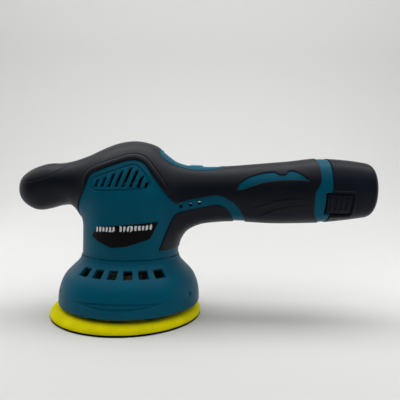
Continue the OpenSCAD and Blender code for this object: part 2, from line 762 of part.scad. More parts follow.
module cell_bundle(r) {
    hull() for (p = cell_at) translate(p) circle(r = r, $fn = 32);
}
module along_x(x, l) {
    translate([x, 0, cell_z]) rotate([90, 0, 90]) linear_extrude(l) children();
}
module tail_loft(x0, inset) {
    loft([for (x = concat(stations(x0, tail_x), tail_stations(inset))) section(x, inset, ring_n)]);
}
module tower_screw_holes() {
    for (s = [-1, 1]) translate([joint_x, s * tower_screw[0], tower_screw[1]])
        rotate([0, 90, 0]) cylinder(r = 1.15, h = 14);
}
module battery_cup() {
    color(black) difference() {
        union() {
            difference() {
                tail_loft(cup_x, cup_inset);
                tail_loft(cup_x - 3, cup_inset + wall_t);
                for (s = [-1, 1]) side_box(latch_x, latch_z - 0.3, latch_l + 0.3, latch_h + 0.6, 12, s);
            }
            intersection() {
                tail_loft(cup_x, cup_inset + 1);
                for (s = [-1, 1])
                    translate([cup_x + plate_l + 0.05, s * tower_screw[0] - 3, tower_screw[1] - 3])
                        cube([7, 6, 20]);
            }
        }
        tower_screw_holes();
    }
}
module battery_tower() {
    sleeve_l = cup_x + plate_l - tower_x;
    color(black) difference() {
        union() {
            along_x(tower_x, sleeve_l) cell_bundle(cell_r + tower_wall);
            difference() {
                along_x(cup_x, plate_l) polygon(
                    [for (p = section(joint_x + 1, 3, ring_n)) [p[1], p[2] - cell_z]]);
                for (s = [-1, 1]) side_box(cup_x - 1, latch_z - 3.3, plate_l + 2, latch_h + 6.6, 12, s);
            }
        }
        along_x(tower_x + tower_wall, sleeve_l) cell_bundle(cell_r + 0.2);
        for (s = [-1, 1]) translate([tower_x - 1, s * blade_y - 1, blade_z - 0.7])
            cube([4, 2, blade_h + 1.4]);
        tower_screw_holes();
    }
}
module battery_cells() {
    color([0.15, 0.35, 0.6]) for (p = cell_at)
        translate([cell_x, p[0], cell_z + p[1]]) rotate([0, 90, 0])
            cylinder(r = cell_r - 0.1, h = cell_l);
}
// Welded tabs: one across the front of the lower cells, two behind the bundle
module cell_tabs() {
    back = cell_x + cell_l + 0.05;
    color(steel) {
        for (x = [cell_x - tab_t - 0.05, back]) translate([x, -13, cell_z - 11]) cube([tab_t, 26, 7]);
        translate([back, -4, cell_z - 4]) cube([tab_t, 8, 16]);
    }
}
module battery_board() {
    color(board_green) translate([cell_x + cell_l + 3, -14, cell_z - 12]) cube([board_t, 28, 26]);
}
// Pairs of leaves that grip the terminal blades
module battery_contacts() {
    front = tower_x + tower_wall + 0.1;
    color(brass) for (y = [-blade_y, blade_y], s = [-1, 1])
        translate([front, y + 0.7 * s - 0.2, blade_z - 0.4])
            cube([cell_x - tab_t - 0.05 - front, 0.4, blade_h + 0.6]);
}
module battery_screws() {
    head_h = 0.7;
    color(steel) for (s = [-1, 1]) translate([cup_x - head_h, s * tower_screw[0], tower_screw[1]])
        rotate([0, 90, 0]) difference() {
            union() {
                cylinder(r = 2, h = head_h);
                cylinder(r = 1.1, h = 8);
            }
            translate([-0.3, -1.4, -0.1]) cube([0.6, 2.8, 0.5]);
        }
}
// Part of the skin between two insets inside a box on one side
module skin_patch(x, z, l, h, inset_a, inset_b, side) {
    intersection() {
        difference() {
            loft([for (u = stations(x - 1, x + l + 1)) section(u, inset_a, ring_n)]);
            loft([for (u = stations(x - 2, x + l + 2)) section(u, inset_b, ring_n)]);
        }
        side_box(x, z, l, h, 5, side);
    }
}
// Ribbed thumb plate of a latch with the flange that holds it behind the window
module latch(side) {
    rib_n = 4;
    rib_l = 2.2;
    rib_h = 0.9;
    pitch = 4.4;
    inner = cup_inset + latch_t;
    flange_x = cup_x + plate_l + 0.3;
    flange_t = 0.7;
    color(black) {
        skin_patch(latch_x, latch_z, latch_l, latch_h, cup_inset, inner, side);
        skin_patch(flange_x, latch_z - 1.5, latch_x + latch_l + 1.7 - flange_x, latch_h + 3,
            inner, inner + flange_t, side);
        for (i = [0 : rib_n - 1])
            skin_patch(latch_x + 2.6 + pitch * i, latch_z + 1, rib_l, latch_h - 2,
                cup_inset - rib_h, cup_inset + 0.1, side);
    }
}
module left_latch() { latch(-1); }
module right_latch() { latch(1); }
// Bowed leaf between the latch and the cells, its back at y = back_y
module latch_spring(side) {
    r = 12.6;
    leaf_t = 0.3;
    back_y = 18.6;
    half = acos(1 - latch_stroke / r);
    color(steel) translate([latch_x + 14, side * (back_y + r), latch_z + 10.2])
        rotate(-90 * side - half) rotate_extrude(angle = 2 * half)
            translate([r - leaf_t, 0]) square([leaf_t, 3]);
}
module left_latch_spring() { latch_spring(-1); }
module right_latch_spring() { latch_spring(1); }

left_housing();
right_housing();
left_overmould();
right_overmould();
left_finger_grip();
right_finger_grip();
palm_pad();
saddle_trim();
label_plate();
housing_screws();
shroud();
motor_frame();
frame_screws();
motor_can();
motor_magnets();
motor_end_bell();
motor_bearings();
brush_holders();
carbon_brushes();
motor_terminals();
motor_screws();
motor_leads();
control_board();
board_parts();
button_board();
tact_switch();
terminal_block();
terminal_blades();
motor_shaft();
armature_core();
armature_windings();
commutator();
eccentric_hub();
hub_screw();
cooling_fan();
bearing_outer();
bearing_balls();
bearing_clip();
pad_spindle();
bearing_inner();
spindle_clip();
pad_stud();
pad_base();
pad_foam();
hook_face();
switch_button();
switch_spring();
battery_cup();
battery_tower();
battery_cells();
cell_tabs();
battery_board();
battery_contacts();
battery_screws();
left_latch();
right_latch();
left_latch_spring();
right_latch_spring();
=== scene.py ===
"""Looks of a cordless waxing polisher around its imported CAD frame.

Lengths are in millimetres until a mesh is written: x runs to the battery, y away from the camera and
z up, from the motor axis at the face of the pad.
"""

import json
import math

import bpy
import numpy as np
from mathutils import Matrix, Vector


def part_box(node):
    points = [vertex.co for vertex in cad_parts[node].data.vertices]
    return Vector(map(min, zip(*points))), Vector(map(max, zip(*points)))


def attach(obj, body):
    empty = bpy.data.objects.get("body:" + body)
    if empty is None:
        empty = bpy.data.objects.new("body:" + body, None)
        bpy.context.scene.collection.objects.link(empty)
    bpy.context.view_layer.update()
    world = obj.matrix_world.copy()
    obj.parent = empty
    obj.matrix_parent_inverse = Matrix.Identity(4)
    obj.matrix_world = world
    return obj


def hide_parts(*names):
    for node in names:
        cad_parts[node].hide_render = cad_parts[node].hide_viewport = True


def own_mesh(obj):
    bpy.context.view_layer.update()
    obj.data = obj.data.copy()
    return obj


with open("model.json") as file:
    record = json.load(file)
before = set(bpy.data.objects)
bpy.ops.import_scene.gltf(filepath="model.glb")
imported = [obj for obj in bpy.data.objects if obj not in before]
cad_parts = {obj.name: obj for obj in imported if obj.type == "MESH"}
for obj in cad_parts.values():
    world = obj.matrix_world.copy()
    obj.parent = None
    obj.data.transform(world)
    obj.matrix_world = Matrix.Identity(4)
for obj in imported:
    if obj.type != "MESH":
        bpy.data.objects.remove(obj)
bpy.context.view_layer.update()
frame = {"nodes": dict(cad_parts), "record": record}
MM = 0.001
LEFT, RIGHT = -1, 1  # the two halves of the tool; the sticker is on the left one


def cad_range(node):
    """Lowest and highest corner of a CAD node in millimetres."""
    low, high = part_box(node)
    return np.array(low) / MM, np.array(high) / MM


# ---- the long body and the neck, the same profiles as the CAD model's ----

CROWN = [
    (-97, 119.4), (-88, 119.9), (-78, 121.5), (-68, 123.5), (-58, 124), (-48, 126), (-36, 130.4),
    (-22, 136.3), (-10, 140.7), (2, 142.9), (12, 142.1), (21, 139.4), (29, 133), (37, 127.6),
    (46, 124.8), (60, 123.8), (80, 124.6), (110, 127.5), (132, 129.8), (154, 132.7),
    (166, 132.6), (180, 131.7), (195, 129.8), (210, 127),
]
BELLY = [
    (-97, 85), (-88, 84), (-78, 83.3), (-68, 85.6), (-58, 88.4), (-50, 88.6), (-44, 84.5),
    (-36, 78), (0, 70), (36, 62), (43, 66), (48, 70), (54, 73.3), (61, 75.5), (70, 76.8),
    (85, 77.9), (120, 77), (154, 78.2), (166, 79.2), (180, 81), (195, 83.4), (210, 86),
]
HALF_WIDTH = [
    (-97, 19), (-84, 20), (-70, 20.3), (-56, 20.8), (-44, 23), (-30, 28), (-15, 32.5), (0, 34),
    (15, 32.5), (28, 28.5), (40, 24.5), (52, 22.5), (66, 22), (90, 22.8), (120, 24.3),
    (154, 26), (166, 26.3), (180, 25.8), (195, 24.5), (210, 23),
]
OVAL = 2.25  # exponent of the oval sections
NOSE_X, NOSE_L, NOSE_CURVE = -66.5, 27.4, (2.65, 2.36)  # start, length and powers of its rounding
TAIL_X, TAIL_L, TAIL_CURVE = 194.5, 7.6, (2.45, 3.32)
NECK_R, DOME_Z, DOME_H = 40.6, 92, 46
BLEND = 9  # softness of the joint between the body and the neck
SKIN = 0.8  # the soft grip stands this far over the plastic
WALL = 2.4
GRID = 1.6  # spacing of the grid on which the body is meshed
PROBE = 0.05  # step over which the slope of a field is taken
JOINT_X = cad_range("left_housing")[1][0]
FOOT_Z = cad_range("shroud")[1][2] + 0.03
CUP_X = cad_range("battery_cup")[0][0]
PAD_X = -2.5  # axis of the pad, off the motor axis by the throw of the eccentric
SHROUD = [
    (10.8, 58.5), (18, 58.2), (22.5, 57.5), (27, 56.2), (31.2, 54.4), (34.5, 52.2), (37.5, 49.3),
    (40.5, 46.3), (43.2, 43.6), (45.5, 41.9), (47.5, 41), (49.5, 40.6),
]  # height and radius of its outer face


def smooth_curve(table):
    """Curve through the points of a profile, with slopes taken across each point's neighbours."""
    at = np.array(table, float)
    x0, y0 = at.T
    inner = (y0[2:] - y0[:-2]) / (x0[2:] - x0[:-2])
    first, last = (y0[1] - y0[0]) / (x0[1] - x0[0]), (y0[-1] - y0[-2]) / (x0[-1] - x0[-2])
    rise = np.concatenate([[first], inner, [last]])

    def value(x):
        i = np.clip(np.searchsorted(x0, x) - 1, 0, len(x0) - 2)
        h = x0[i + 1] - x0[i]
        u = (x - x0[i]) / h
        start = (2 * u**3 - 3 * u**2 + 1) * y0[i] + (u**3 - 2 * u**2 + u) * h * rise[i]
        end = (3 * u**2 - 2 * u**3) * y0[i + 1] + (u**3 - u**2) * h * rise[i + 1]
        return start + end

    return value


crown, belly, half_width = smooth_curve(CROWN), smooth_curve(BELLY), smooth_curve(HALF_WIDTH)
shroud_radius = smooth_curve(SHROUD)


def body_field(p):
    """Zero on the surface of the grip, negative inside, about a distance near it."""
    x, y, z = p.T
    high, low, wide = crown(x), belly(x), half_width(x)
    tall = (high - low) / 2
    oval = (np.abs(y) / wide) ** OVAL + (np.abs(z - (high + low) / 2) / tall) ** OVAL
    nose = np.maximum(0, (NOSE_X - x) / NOSE_L)
    tail = np.maximum(0, (x - TAIL_X) / TAIL_L)
    (nose_long, nose_wide), (tail_long, tail_wide) = NOSE_CURVE, TAIL_CURVE
    size = (oval ** (nose_wide / OVAL) + nose**nose_long) ** (1 / nose_wide)
    size = (size**tail_wide + tail**tail_long) ** (1 / tail_wide)
    beam = (size - 1) * np.minimum(wide, tall)
    dome = np.maximum(0, (z - DOME_Z) / DOME_H)
    neck = (np.sqrt((x * x + y * y) / NECK_R**2 + dome**2) - 1) * NECK_R
    t = np.clip(0.5 + 0.5 * (neck - beam) / BLEND, 0, 1)
    return neck * (1 - t) + beam * t - BLEND * t * (1 - t)


def shroud_field(p):
    return np.hypot(p[:, 0], p[:, 1]) - shroud_radius(p[:, 2])


def gradient(field, p):
    shifts = np.eye(3) * PROBE
    return np.stack([field(p + s) - field(p - s) for s in shifts], axis=1) / (2 * PROBE)


def land(field, p, measure=None, level=0.0, rounds=3):
    """Points moved onto the surface, and along it onto the line where measure is level."""
    for _ in range(rounds):
        slope = gradient(field, p)
        size = (slope**2).sum(1)
        p = p - slope * (field(p) / size)[:, None]
        if measure:
            normal = slope / np.sqrt(size)[:, None]
            along = gradient(measure, p)
            along -= normal * (along * normal).sum(1)[:, None]
            stride = (measure(p) - level) / np.maximum((along**2).sum(1), 0.05)
            p = p - along * np.clip(stride, -1, 1)[:, None]
    return p


# ---- side outlines, x and z ----


def rounded_path(points, steps=6):
    """Smooth path through points (Catmull-Rom)."""
    p = np.array(points, float)
    p = np.vstack([2 * p[0] - p[1], p, 2 * p[-1] - p[-2]])
    t = np.linspace(0, 1, steps, endpoint=False)[:, None]
    path = []
    for a, b, c, d in zip(p[:-3], p[1:-2], p[2:-1], p[3:]):
        path.append(
            0.5 * (2 * b + (c - a) * t + (2 * a - 5 * b + 4 * c - d) * t**2
                   + (3 * b - a - 3 * c + d) * t**3)
        )
    return np.vstack(path + [p[-2:-1]])


def outline(*strokes):
    """Closed polygon of smooth strokes that meet in corners."""
    return np.vstack([rounded_path(s) if len(s) > 2 else np.array(s, float) for s in strokes])


def path_distance(path, q):
    """Distance of each point of q from an open path."""
    nearest = np.full(len(q), np.inf)
    for a, b in zip(path[:-1], path[1:]):
        run = b - a
        size = run @ run
        if size > 0:
            t = np.clip((q - a) @ run / size, 0, 1)
            nearest = np.minimum(nearest, ((q - a - t[:, None] * run) ** 2).sum(1))
    return np.sqrt(nearest)


def region(polygon):
    """Measure of a side outline: minus the depth inside it, plus the distance outside."""
    path = np.vstack([polygon, polygon[:1]])

    def measure(p):
        q = p[:, [0, 2]]
        odd = np.zeros(len(q), bool)
        for a, b in zip(path[:-1], path[1:]):
            if a[1] != b[1]:
                spans = (a[1] > q[:, 1]) != (b[1] > q[:, 1])
                odd ^= spans & (q[:, 0] < a[0] + (q[:, 1] - a[1]) * (b[0] - a[0]) / (b[1] - a[1]))
        return np.where(odd, -1, 1) * path_distance(path, q)

    return measure


def track(points):
    """Measure of a side line that runs from left to right: the height over it."""
    path = rounded_path(points)
    x, z = path.T
    tilt = np.cos(np.arctan(np.gradient(z, x)))
    return lambda p: (p[:, 2] - np.interp(p[:, 0], x, z)) * np.interp(p[:, 0], x, tilt)


def between(points, fade):
    """One between the ends of a side line, falling to nothing over the fade before each end."""
    first, last = points[0][0], points[-1][0]
    return lambda p: np.clip(np.minimum(p[:, 0] - first, last - p[:, 0]) / fade, 0, 1)


def rounded_box(x, z, half_l, half_h, r):
    def measure(p):
        u = np.abs(p[:, 0] - x) - half_l + r
        v = np.abs(p[:, 2] - z) - half_h + r
        return np.hypot(np.maximum(u, 0), np.maximum(v, 0)) + np.minimum(np.maximum(u, v), 0) - r

    return measure


def outside(measure):
    return lambda p: -measure(p)


def beyond(axis, limit, sign=1):
    """Measure that keeps what lies above limit on an axis, or below it where sign is -1."""
    return lambda p: sign * (limit - p[:, axis])


NECK_EDGE = [
    (-41.6, 50), (-41.4, 80), (-39.2, 90.6), (-33.9, 101), (-30, 111), (-27.5, 115), (-22, 117.6),
    (-8, 122.7), (2, 126), (8, 126.4), (12.6, 124.8), (17, 120.6), (22.1, 113.1), (34, 97.4),
    (37.6, 93.9), (41, 93.7),
]
BAND_TOP = [
    (41, 93.7), (48.4, 95.7), (58.4, 98), (67, 99.7), (74, 99.8), (81, 96.3), (87.6, 91.3),
    (95.3, 79.1), (101, 66),
]
BAND_BOTTOM = [
    (26.5, 55), (31, 68.1), (34.7, 77.2), (37.4, 83), (41, 85.9), (46, 87.1), (61.1, 90.4),
    (68, 92), (73.8, 92), (79, 89.2), (83.6, 82.8), (90, 70),
]
COLLAR_EDGE = [
    (162, 70), (157.5, 77.5), (152.7, 82), (149, 87.4), (148.1, 96), (148.4, 103.8), (151, 109),
    (152.8, 115), (152.5, 127), (152, 150),
]
PALM_SEAM = [
    (-110, 106), (-92, 106.6), (-78, 108.2), (-68.8, 110.4), (-60, 115), (-50, 122.2),
    (-43.7, 126.4), (-36, 132), (-28, 142),
]
BEAD_LINE = [
    (-34.5, 107), (-33, 114.4), (-28, 119.8), (-20, 123.2), (-9, 127), (0, 130.3), (6, 131.3),
    (12.5, 130), (18, 125.7), (24.1, 118.2), (30.5, 109.5), (35, 101),
]
CRESCENT_TOP = [
    (86.4, 105), (88, 108.2), (91.8, 112.2), (98, 115.8), (106, 118.5), (112, 119.6), (117, 120),
]
CRESCENT_NOTCH = [(120.2, 117.7), (125.4, 117.6)]
CRESCENT_END = [(127.6, 120.7), (131, 121.2), (134.8, 120.1), (139, 117.2), (144.5, 113)]
CRESCENT_BOTTOM = [
    (144.5, 113), (138, 113.8), (128.3, 114), (118.4, 113.2), (108, 111.6), (98, 108), (91.5, 105.4),
    (86.4, 105),
]
TRIM_EDGE = [
    (24.3, 150), (24.2, 137), (25.4, 131.8), (29, 127.6), (36, 124), (46, 121.1), (56, 120),
    (66, 120.6), (75, 122.7), (82, 126),
]
HANDLE_GROOVES = [
    [(98, 90.3), (108.8, 94), (118.6, 97.2), (129, 98.8), (140, 99.2)],
    [(104.5, 83.6), (112.5, 88), (120, 90.7), (129.5, 92.7), (140.5, 94)],
]
VENT_PANEL = [
    (-26.8, 108.5), (-26, 111.6), (-22.5, 113.2), (-7.7, 118.3), (3, 122.2), (7.6, 122.7),
    (11.4, 120.4), (18.4, 112), (19.3, 108.6), (17.4, 105.6), (14, 104.4), (-18, 102.3),
    (-24, 102.9), (-26.6, 105.6), (-26.8, 108.5),
]
LABEL = [(-26, 67), (-21, 74.5), (26.5, 79), (20.5, 66), (3, 60.5), (-9, 59), (-20, 63.5)]

grip_region = region(outline(
    NECK_EDGE[:-1] + BAND_TOP, [(140, 58), (162, 60)], COLLAR_EDGE, [(-110, 150), (-110, 50)]
))
finger_region = region(outline(BAND_BOTTOM, [(90, 50), (26.5, 50)]))
palm_region = region(outline(PALM_SEAM, [(-28, 160), (-110, 160)]))
trim_region = region(outline(TRIM_EDGE, [(82, 160), (24.3, 160)]))
crescent_region = region(
    outline(CRESCENT_TOP, CRESCENT_NOTCH, CRESCENT_END, CRESCENT_BOTTOM)
)
bead_region = region(outline(BEAD_LINE, NECK_EDGE[3:14][::-1]))
panel_region = region(rounded_path(VENT_PANEL))
latch_region = rounded_box(168, 95, 10, 7.8, 1.6)
window_region = rounded_box(160.4, 94.6, 18.2, 8.8, 1.8)  # the latch's hole in the battery case
notch_region = rounded_box(190, 95.1, 33.2, 9.1, 1.2)  # the latch's notch in the housing


def vent_slots():
    """One region for each slanted slot of the vent panel."""
    start, pitch, half, slant, foot = -23.2, 5.65, 1.3, 0.36, 105.2
    peak_x, peak = 5.05, 118.4  # where the tops begin to fall towards the battery
    slots = []
    for i in range(8):
        x = start + pitch * i
        top = min(111.2 + 0.4 * (x + 23), peak - 0.8 * (x - peak_x))
        lean = slant * (top - foot)
        tip = min(1.0, 0.3 + 0.1 * i)  # the corner away from the nose stands higher
        slots.append(region(np.array([
            (x - half, foot), (x + half, foot + 0.1), (x + half + lean, top + tip),
            (x - half + lean, top - 0.4),
        ])))
    return slots


def band_vents():
    centres, half, r = ((43.1, 90.6), (50.2, 92), (57.2, 93.5)), 1.25, 0.3
    return [rounded_box(x, z, half, half, r) for x, z in centres]


SCREWS = [(-68, 104, 8), (-28.5, 76, 15), (28.5, 76, 15), (58, 86, 9), (104, 90, 9)]  # x, z, head


def disc(x, z, r):
    return lambda p: np.hypot(p[:, 0] - x, p[:, 2] - z) - r


BUTTON_X, BUTTON_HALF, BUTTON_R = 54, 2.4, 3.6  # centre, half of its straight run, end radius
HANDLE_FLOOR = 110  # the button's hole is only cut above this height


def button_hole(gap):
    """Region of the push button's hole, seen from above and only in the top of the handle."""

    def measure(p):
        along = np.maximum(np.abs(p[:, 0] - BUTTON_X) - BUTTON_HALF, 0)
        return np.maximum(np.hypot(along, p[:, 1]) - BUTTON_R - gap, HANDLE_FLOOR - p[:, 2])

    return measure


# ---- meshes made of points and triangles ----


def surface_net(field, low, high, step):
    """Points and triangles of the zero surface of a field inside a box."""
    axes = [np.arange(a, b + step, step) for a, b in zip(low, high)]
    grid = np.stack(np.meshgrid(*axes, indexing="ij"), -1)
    shape = grid.shape[:3]
    value = field(grid.reshape(-1, 3)).reshape(shape)
    cells = tuple(n - 1 for n in shape)
    total, count = np.zeros(cells + (3,)), np.zeros(cells)
    crossings = []
    for axis in range(3):
        near = np.take(value, range(shape[axis] - 1), axis)
        far = np.take(value, range(1, shape[axis]), axis)
        crossed = (near < 0) != (far < 0)
        share = np.where(crossed, near / np.where(crossed, near - far, 1), 0)
        places = np.meshgrid(*[np.arange(n) for n in near.shape], indexing="ij")
        at = np.stack(places, -1).astype(float)
        at[..., axis] += share
        crossings.append((crossed, near < 0))
        others = [k for k in range(3) if k != axis]
        for shift in ((0, 0), (0, 1), (1, 0), (1, 1)):
            part = [slice(None)] * 3
            for k, s in zip(others, shift):
                part[k] = slice(s, s + cells[k])
            part = tuple(part)
            total += at[part] * crossed[part][..., None]
            count += crossed[part]
    used = count > 0
    number = np.full(cells, -1)
    number[used] = np.arange(used.sum())
    points = total[used] / count[used][:, None] * step + np.array(low)
    faces = []
    for axis, (crossed, starts_inside) in enumerate(crossings):
        u, v = [k for k in range(3) if k != axis]
        index = np.argwhere(crossed)
        inner = np.all([(index[:, k] > 0) & (index[:, k] < cells[k]) for k in (u, v)], axis=0)
        index = index[inner]
        ring = []
        for du, dv in ((-1, -1), (0, -1), (0, 0), (-1, 0)):
            cell = index.copy()
            cell[:, u] += du
            cell[:, v] += dv
            ring.append(number[tuple(cell.T)])
        quad = np.stack(ring, 1)
        flip = starts_inside[tuple(index.T)] == (axis == 1)
        quad[flip] = quad[flip][:, ::-1]
        faces.append(quad[:, [0, 1, 2]])
        faces.append(quad[:, [0, 2, 3]])
    return points, np.vstack(faces)


def face_edges(faces, count):
    """Each edge once as a pair of points, and the three edge numbers of every face."""
    pairs = np.sort(faces[:, [0, 1, 1, 2, 2, 0]].reshape(-1, 2), axis=1)
    keys, number = np.unique(pairs[:, 0] * count + pairs[:, 1], return_inverse=True)
    return np.stack([keys // count, keys % count], 1), number.reshape(-1, 3)


def relax(field, points, faces):
    """Evens out the triangles and puts the points back on the surface."""
    rounds, pull = 4, 0.6  # pull is the share of the way to the middle of the neighbours
    edges, _ = face_edges(faces, len(points))
    both = np.vstack([edges, edges[:, ::-1]])
    degree = np.bincount(both[:, 0], minlength=len(points))
    for _ in range(rounds):
        mean = np.stack(
            [np.bincount(both[:, 0], points[both[:, 1], k], len(points)) for k in range(3)], 1
        ) / degree[:, None]
        points = land(field, (1 - pull) * points + pull * mean, rounds=2)
    return points


def edge_drop(depth, r):
    """How far a rounded edge lies below the surface at a depth inside its border."""
    t = np.clip(depth, 0, r)
    return r - np.sqrt(r * r - (r - t) ** 2)


ON_LINE = 0.02  # points this near a line count as on it
SNAP_REACH, SNAP_STEP, STRAY = 0.3, 0.6, 0.4  # shares of an edge that a point may be off or move


class Skin:
    """Triangles on a smooth surface, cut along lines and then thickened into one solid piece."""

    def __init__(self, field, points, faces):
        self.field, self.points, self.faces = field, points, faces
        self.fixed = np.zeros(len(points), bool)
        self.drops, self.lifts = [], []

    def part(self, low, high):
        """Copy of the triangles that reach into a range of x."""
        x = self.points[self.faces][:, :, 0]
        other = Skin(self.field, self.points, self.faces[(x.max(1) > low) & (x.min(1) < high)])
        other.fixed = self.fixed.copy()
        return other.compact()

    def mirrored(self):
        return Skin(self.field, self.points * (1, -1, 1), self.faces[:, ::-1])

    def compact(self):
        used, number = np.unique(self.faces, return_inverse=True)
        self.points, self.fixed = self.points[used], self.fixed[used]
        self.faces = number.reshape(-1, 3)
        return self

    def snap(self, measure, level, s, edges, length):
        """Moves free points that nearly lie on the line onto it."""
        reach = np.full(len(self.points), np.inf)
        np.minimum.at(reach, edges.ravel(), np.repeat(length, 2))
        near = np.flatnonzero((np.abs(s) < SNAP_REACH * reach) & ~self.fixed)
        moved = land(self.field, self.points[near], measure, level)
        step = np.linalg.norm(moved - self.points[near], axis=1)
        fine = (step < SNAP_STEP * reach[near]) & (np.abs(measure(moved) - level) < ON_LINE / 2)
        self.points[near[fine]] = moved[fine]
        s[near[fine]] = 0

    def split(self, measure, level=0.0):
        """Adds edges along the line where measure is level."""
        s = measure(self.points) - level
        edges, of_face = face_edges(self.faces, len(self.points))
        length = np.linalg.norm(self.points[edges[:, 0]] - self.points[edges[:, 1]], axis=1)
        self.snap(measure, level, s, edges, length)
        s[np.abs(s) < ON_LINE] = 0
        self.fixed |= s == 0
        cut = np.flatnonzero(s[edges[:, 0]] * s[edges[:, 1]] < 0)
        a, b = edges[cut].T
        share = (s[a] / (s[a] - s[b]))[:, None]
        middle = self.points[a] * (1 - share) + self.points[b] * share
        if len(cut):
            landed = land(self.field, middle, measure, level)
            strayed = np.linalg.norm(landed - middle, axis=1) > STRAY * length[cut]
            landed[strayed] = middle[strayed]
            middle = landed
        number = np.full(len(edges), -1)
        number[cut] = len(self.points) + np.arange(len(cut))
        self.points = np.vstack([self.points, middle])
        self.fixed = np.concatenate([self.fixed, np.ones(len(cut), bool)])
        self.faces = self.divided(number[of_face])
        return self

    def divided(self, new):
        """Faces after some of their edges got a new point, given for each edge or -1."""
        count = (new >= 0).sum(1)
        parts = [self.faces[count == 0]]
        rows = np.flatnonzero(count == 1)
        turn = (np.argmax(new[rows] >= 0, axis=1)[:, None] + np.arange(3)) % 3
        v = np.take_along_axis(self.faces[rows], turn, 1)
        m = np.take_along_axis(new[rows], turn, 1)[:, 0]
        parts += [np.stack([v[:, 0], m, v[:, 2]], 1), np.stack([m, v[:, 1], v[:, 2]], 1)]
        rows = np.flatnonzero(count == 2)
        turn = (np.argmax(new[rows] < 0, axis=1)[:, None] + 2 + np.arange(3)) % 3
        v = np.take_along_axis(self.faces[rows], turn, 1)
        m = np.take_along_axis(new[rows], turn, 1)
        parts.append(np.stack([v[:, 0], m[:, 0], m[:, 2]], 1))
        one = np.linalg.norm(self.points[m[:, 0]] - self.points[v[:, 2]], axis=1)
        two = np.linalg.norm(self.points[v[:, 1]] - self.points[m[:, 2]], axis=1)
        short = (one < two)[:, None]
        parts.append(np.where(short, np.stack([m[:, 0], v[:, 1], v[:, 2]], 1),
                              np.stack([m[:, 0], v[:, 1], m[:, 2]], 1)))
        parts.append(np.where(short, np.stack([m[:, 0], v[:, 2], m[:, 2]], 1),
                              np.stack([v[:, 1], v[:, 2], m[:, 2]], 1)))
        return np.vstack(parts)

    def keep(self, measure):
        """Cuts along the line where measure is zero and keeps the side where it is negative."""
        self.split(measure)
        self.faces = self.faces[measure(self.points[self.faces].mean(1)) < 0]
        return self.compact()

    def border(self, measure, r):
        """Cuts as keep does and rounds the edge."""
        self.keep(measure)
        for share in (0.12, 0.4, 1.0):
            self.split(measure, -share * r)
        self.drops.append(lambda p: edge_drop(-measure(p), r))
        return self

    def lift(self, measure, levels, height):
        """Raises or sinks the surface by height(measure), with edges along the given levels."""
        for level in levels:
            self.split(measure, level)
        self.lifts.append(lambda p: height(measure(p)))
        return self

    def groove(self, measure, half, depth, share=None):
        """Sinks a groove along the line where measure is zero, where share allows it."""
        flat = 0.4 * half
        for level in (-half, -flat, flat, half):
            self.split(measure, level)
        self.lifts.append(
            lambda p: -depth * np.clip((half - np.abs(measure(p))) / (half - flat), 0, 1)
            * (share(p) if share else 1)
        )
        return self

    def whole(self, least):
        """Drops loose crumbs of fewer than the least number of triangles."""
        label = np.arange(len(self.points))
        while True:
            low = label[self.faces].min(1)
            new = label.copy()
            np.minimum.at(new, self.faces.ravel(), np.repeat(low, 3))
            new = new[new]
            if (new == label).all():
                break
            label = new
        group = label[self.faces[:, 0]]
        size = np.bincount(group, minlength=len(self.points))
        self.faces = self.faces[size[group] >= least]
        return self.compact()

    def solid(self, base, thickness, least=30):
        """Points and faces of the closed piece, its outer face at base over the surface."""
        self.whole(least)
        p = self.points
        normal = gradient(self.field, p)
        normal /= np.linalg.norm(normal, axis=1)[:, None]
        height = np.full(len(p), float(base))
        for rise in self.lifts:
            height += rise(p)
        if self.drops:
            height -= np.max([drop(p) for drop in self.drops], axis=0)
        height = np.maximum(height, base - thickness + 0.05)
        outer = p + normal * height[:, None]
        inner = p + normal * (base - thickness)
        n = len(p)
        directed = self.faces[:, [0, 1, 1, 2, 2, 0]].reshape(-1, 2)
        keys = directed[:, 0] * n + directed[:, 1]
        rim = directed[~np.isin(keys, directed[:, 1] * n + directed[:, 0])]
        a, b = rim.T
        sides = np.vstack([np.stack([b, a, a + n], 1), np.stack([b, a + n, b + n], 1)])
        faces = np.vstack([self.faces, self.faces[:, ::-1] + n, sides])
        return np.vstack([outer, inner]), faces


def welded(points, faces):
    """The same faces with equal points made one, and without faces that vanish so."""
    _, first, number = np.unique(np.round(points, 4), axis=0, return_index=True, return_inverse=True)
    faces = number.ravel()[faces]
    a, b, c = faces.T
    return points[first], faces[(a != b) & (b != c) & (c != a)]


def net_faces(a, b, c, d):
    """Two triangles for each four-sided face of a net, given by its corners in turn."""
    return np.vstack([np.stack([a, b, c], -1).reshape(-1, 3), np.stack([a, c, d], -1).reshape(-1, 3)])


def joined(*solids):
    """Several closed solids as one list of points and faces."""
    points, faces, count = [], [], 0
    for p, f in solids:
        points.append(p)
        faces.append(f + count)
        count += len(p)
    return np.vstack(points), np.vstack(faces)


def turned(r, z, turns):
    """Points of a profile turned about the upright axis."""
    angle = np.linspace(0, 2 * np.pi, turns, endpoint=False)
    around = np.outer(np.cos(angle), r), np.outer(np.sin(angle), r), np.tile(z, (turns, 1))
    return np.stack(around, -1).reshape(-1, 3)


def lathe(profile, turns, x=0.0):
    """Closed solid of a closed profile of (radius, height) about an upright axis at x."""
    r, z = np.array(profile, float).T
    n = len(r)
    points = turned(r, z, turns) + (x, 0, 0)
    i, k = np.meshgrid(np.arange(turns), np.arange(n), indexing="ij")
    a, b = i * n + k, i * n + (k + 1) % n
    c, d = (i + 1) % turns * n + k, (i + 1) % turns * n + (k + 1) % n
    return welded(points, net_faces(a, c, d, b))


def tube_wall(x, z, r_in, r_out, y0, y1):
    """Closed pipe along y, the wall of a screw hole."""
    p, f = lathe([(r_in, y0), (r_out, y0), (r_out, y1), (r_in, y1)], 28)
    return np.stack([p[:, 0] + x, p[:, 2], p[:, 1] + z], 1), f[:, ::-1]


# ---- pieces ----

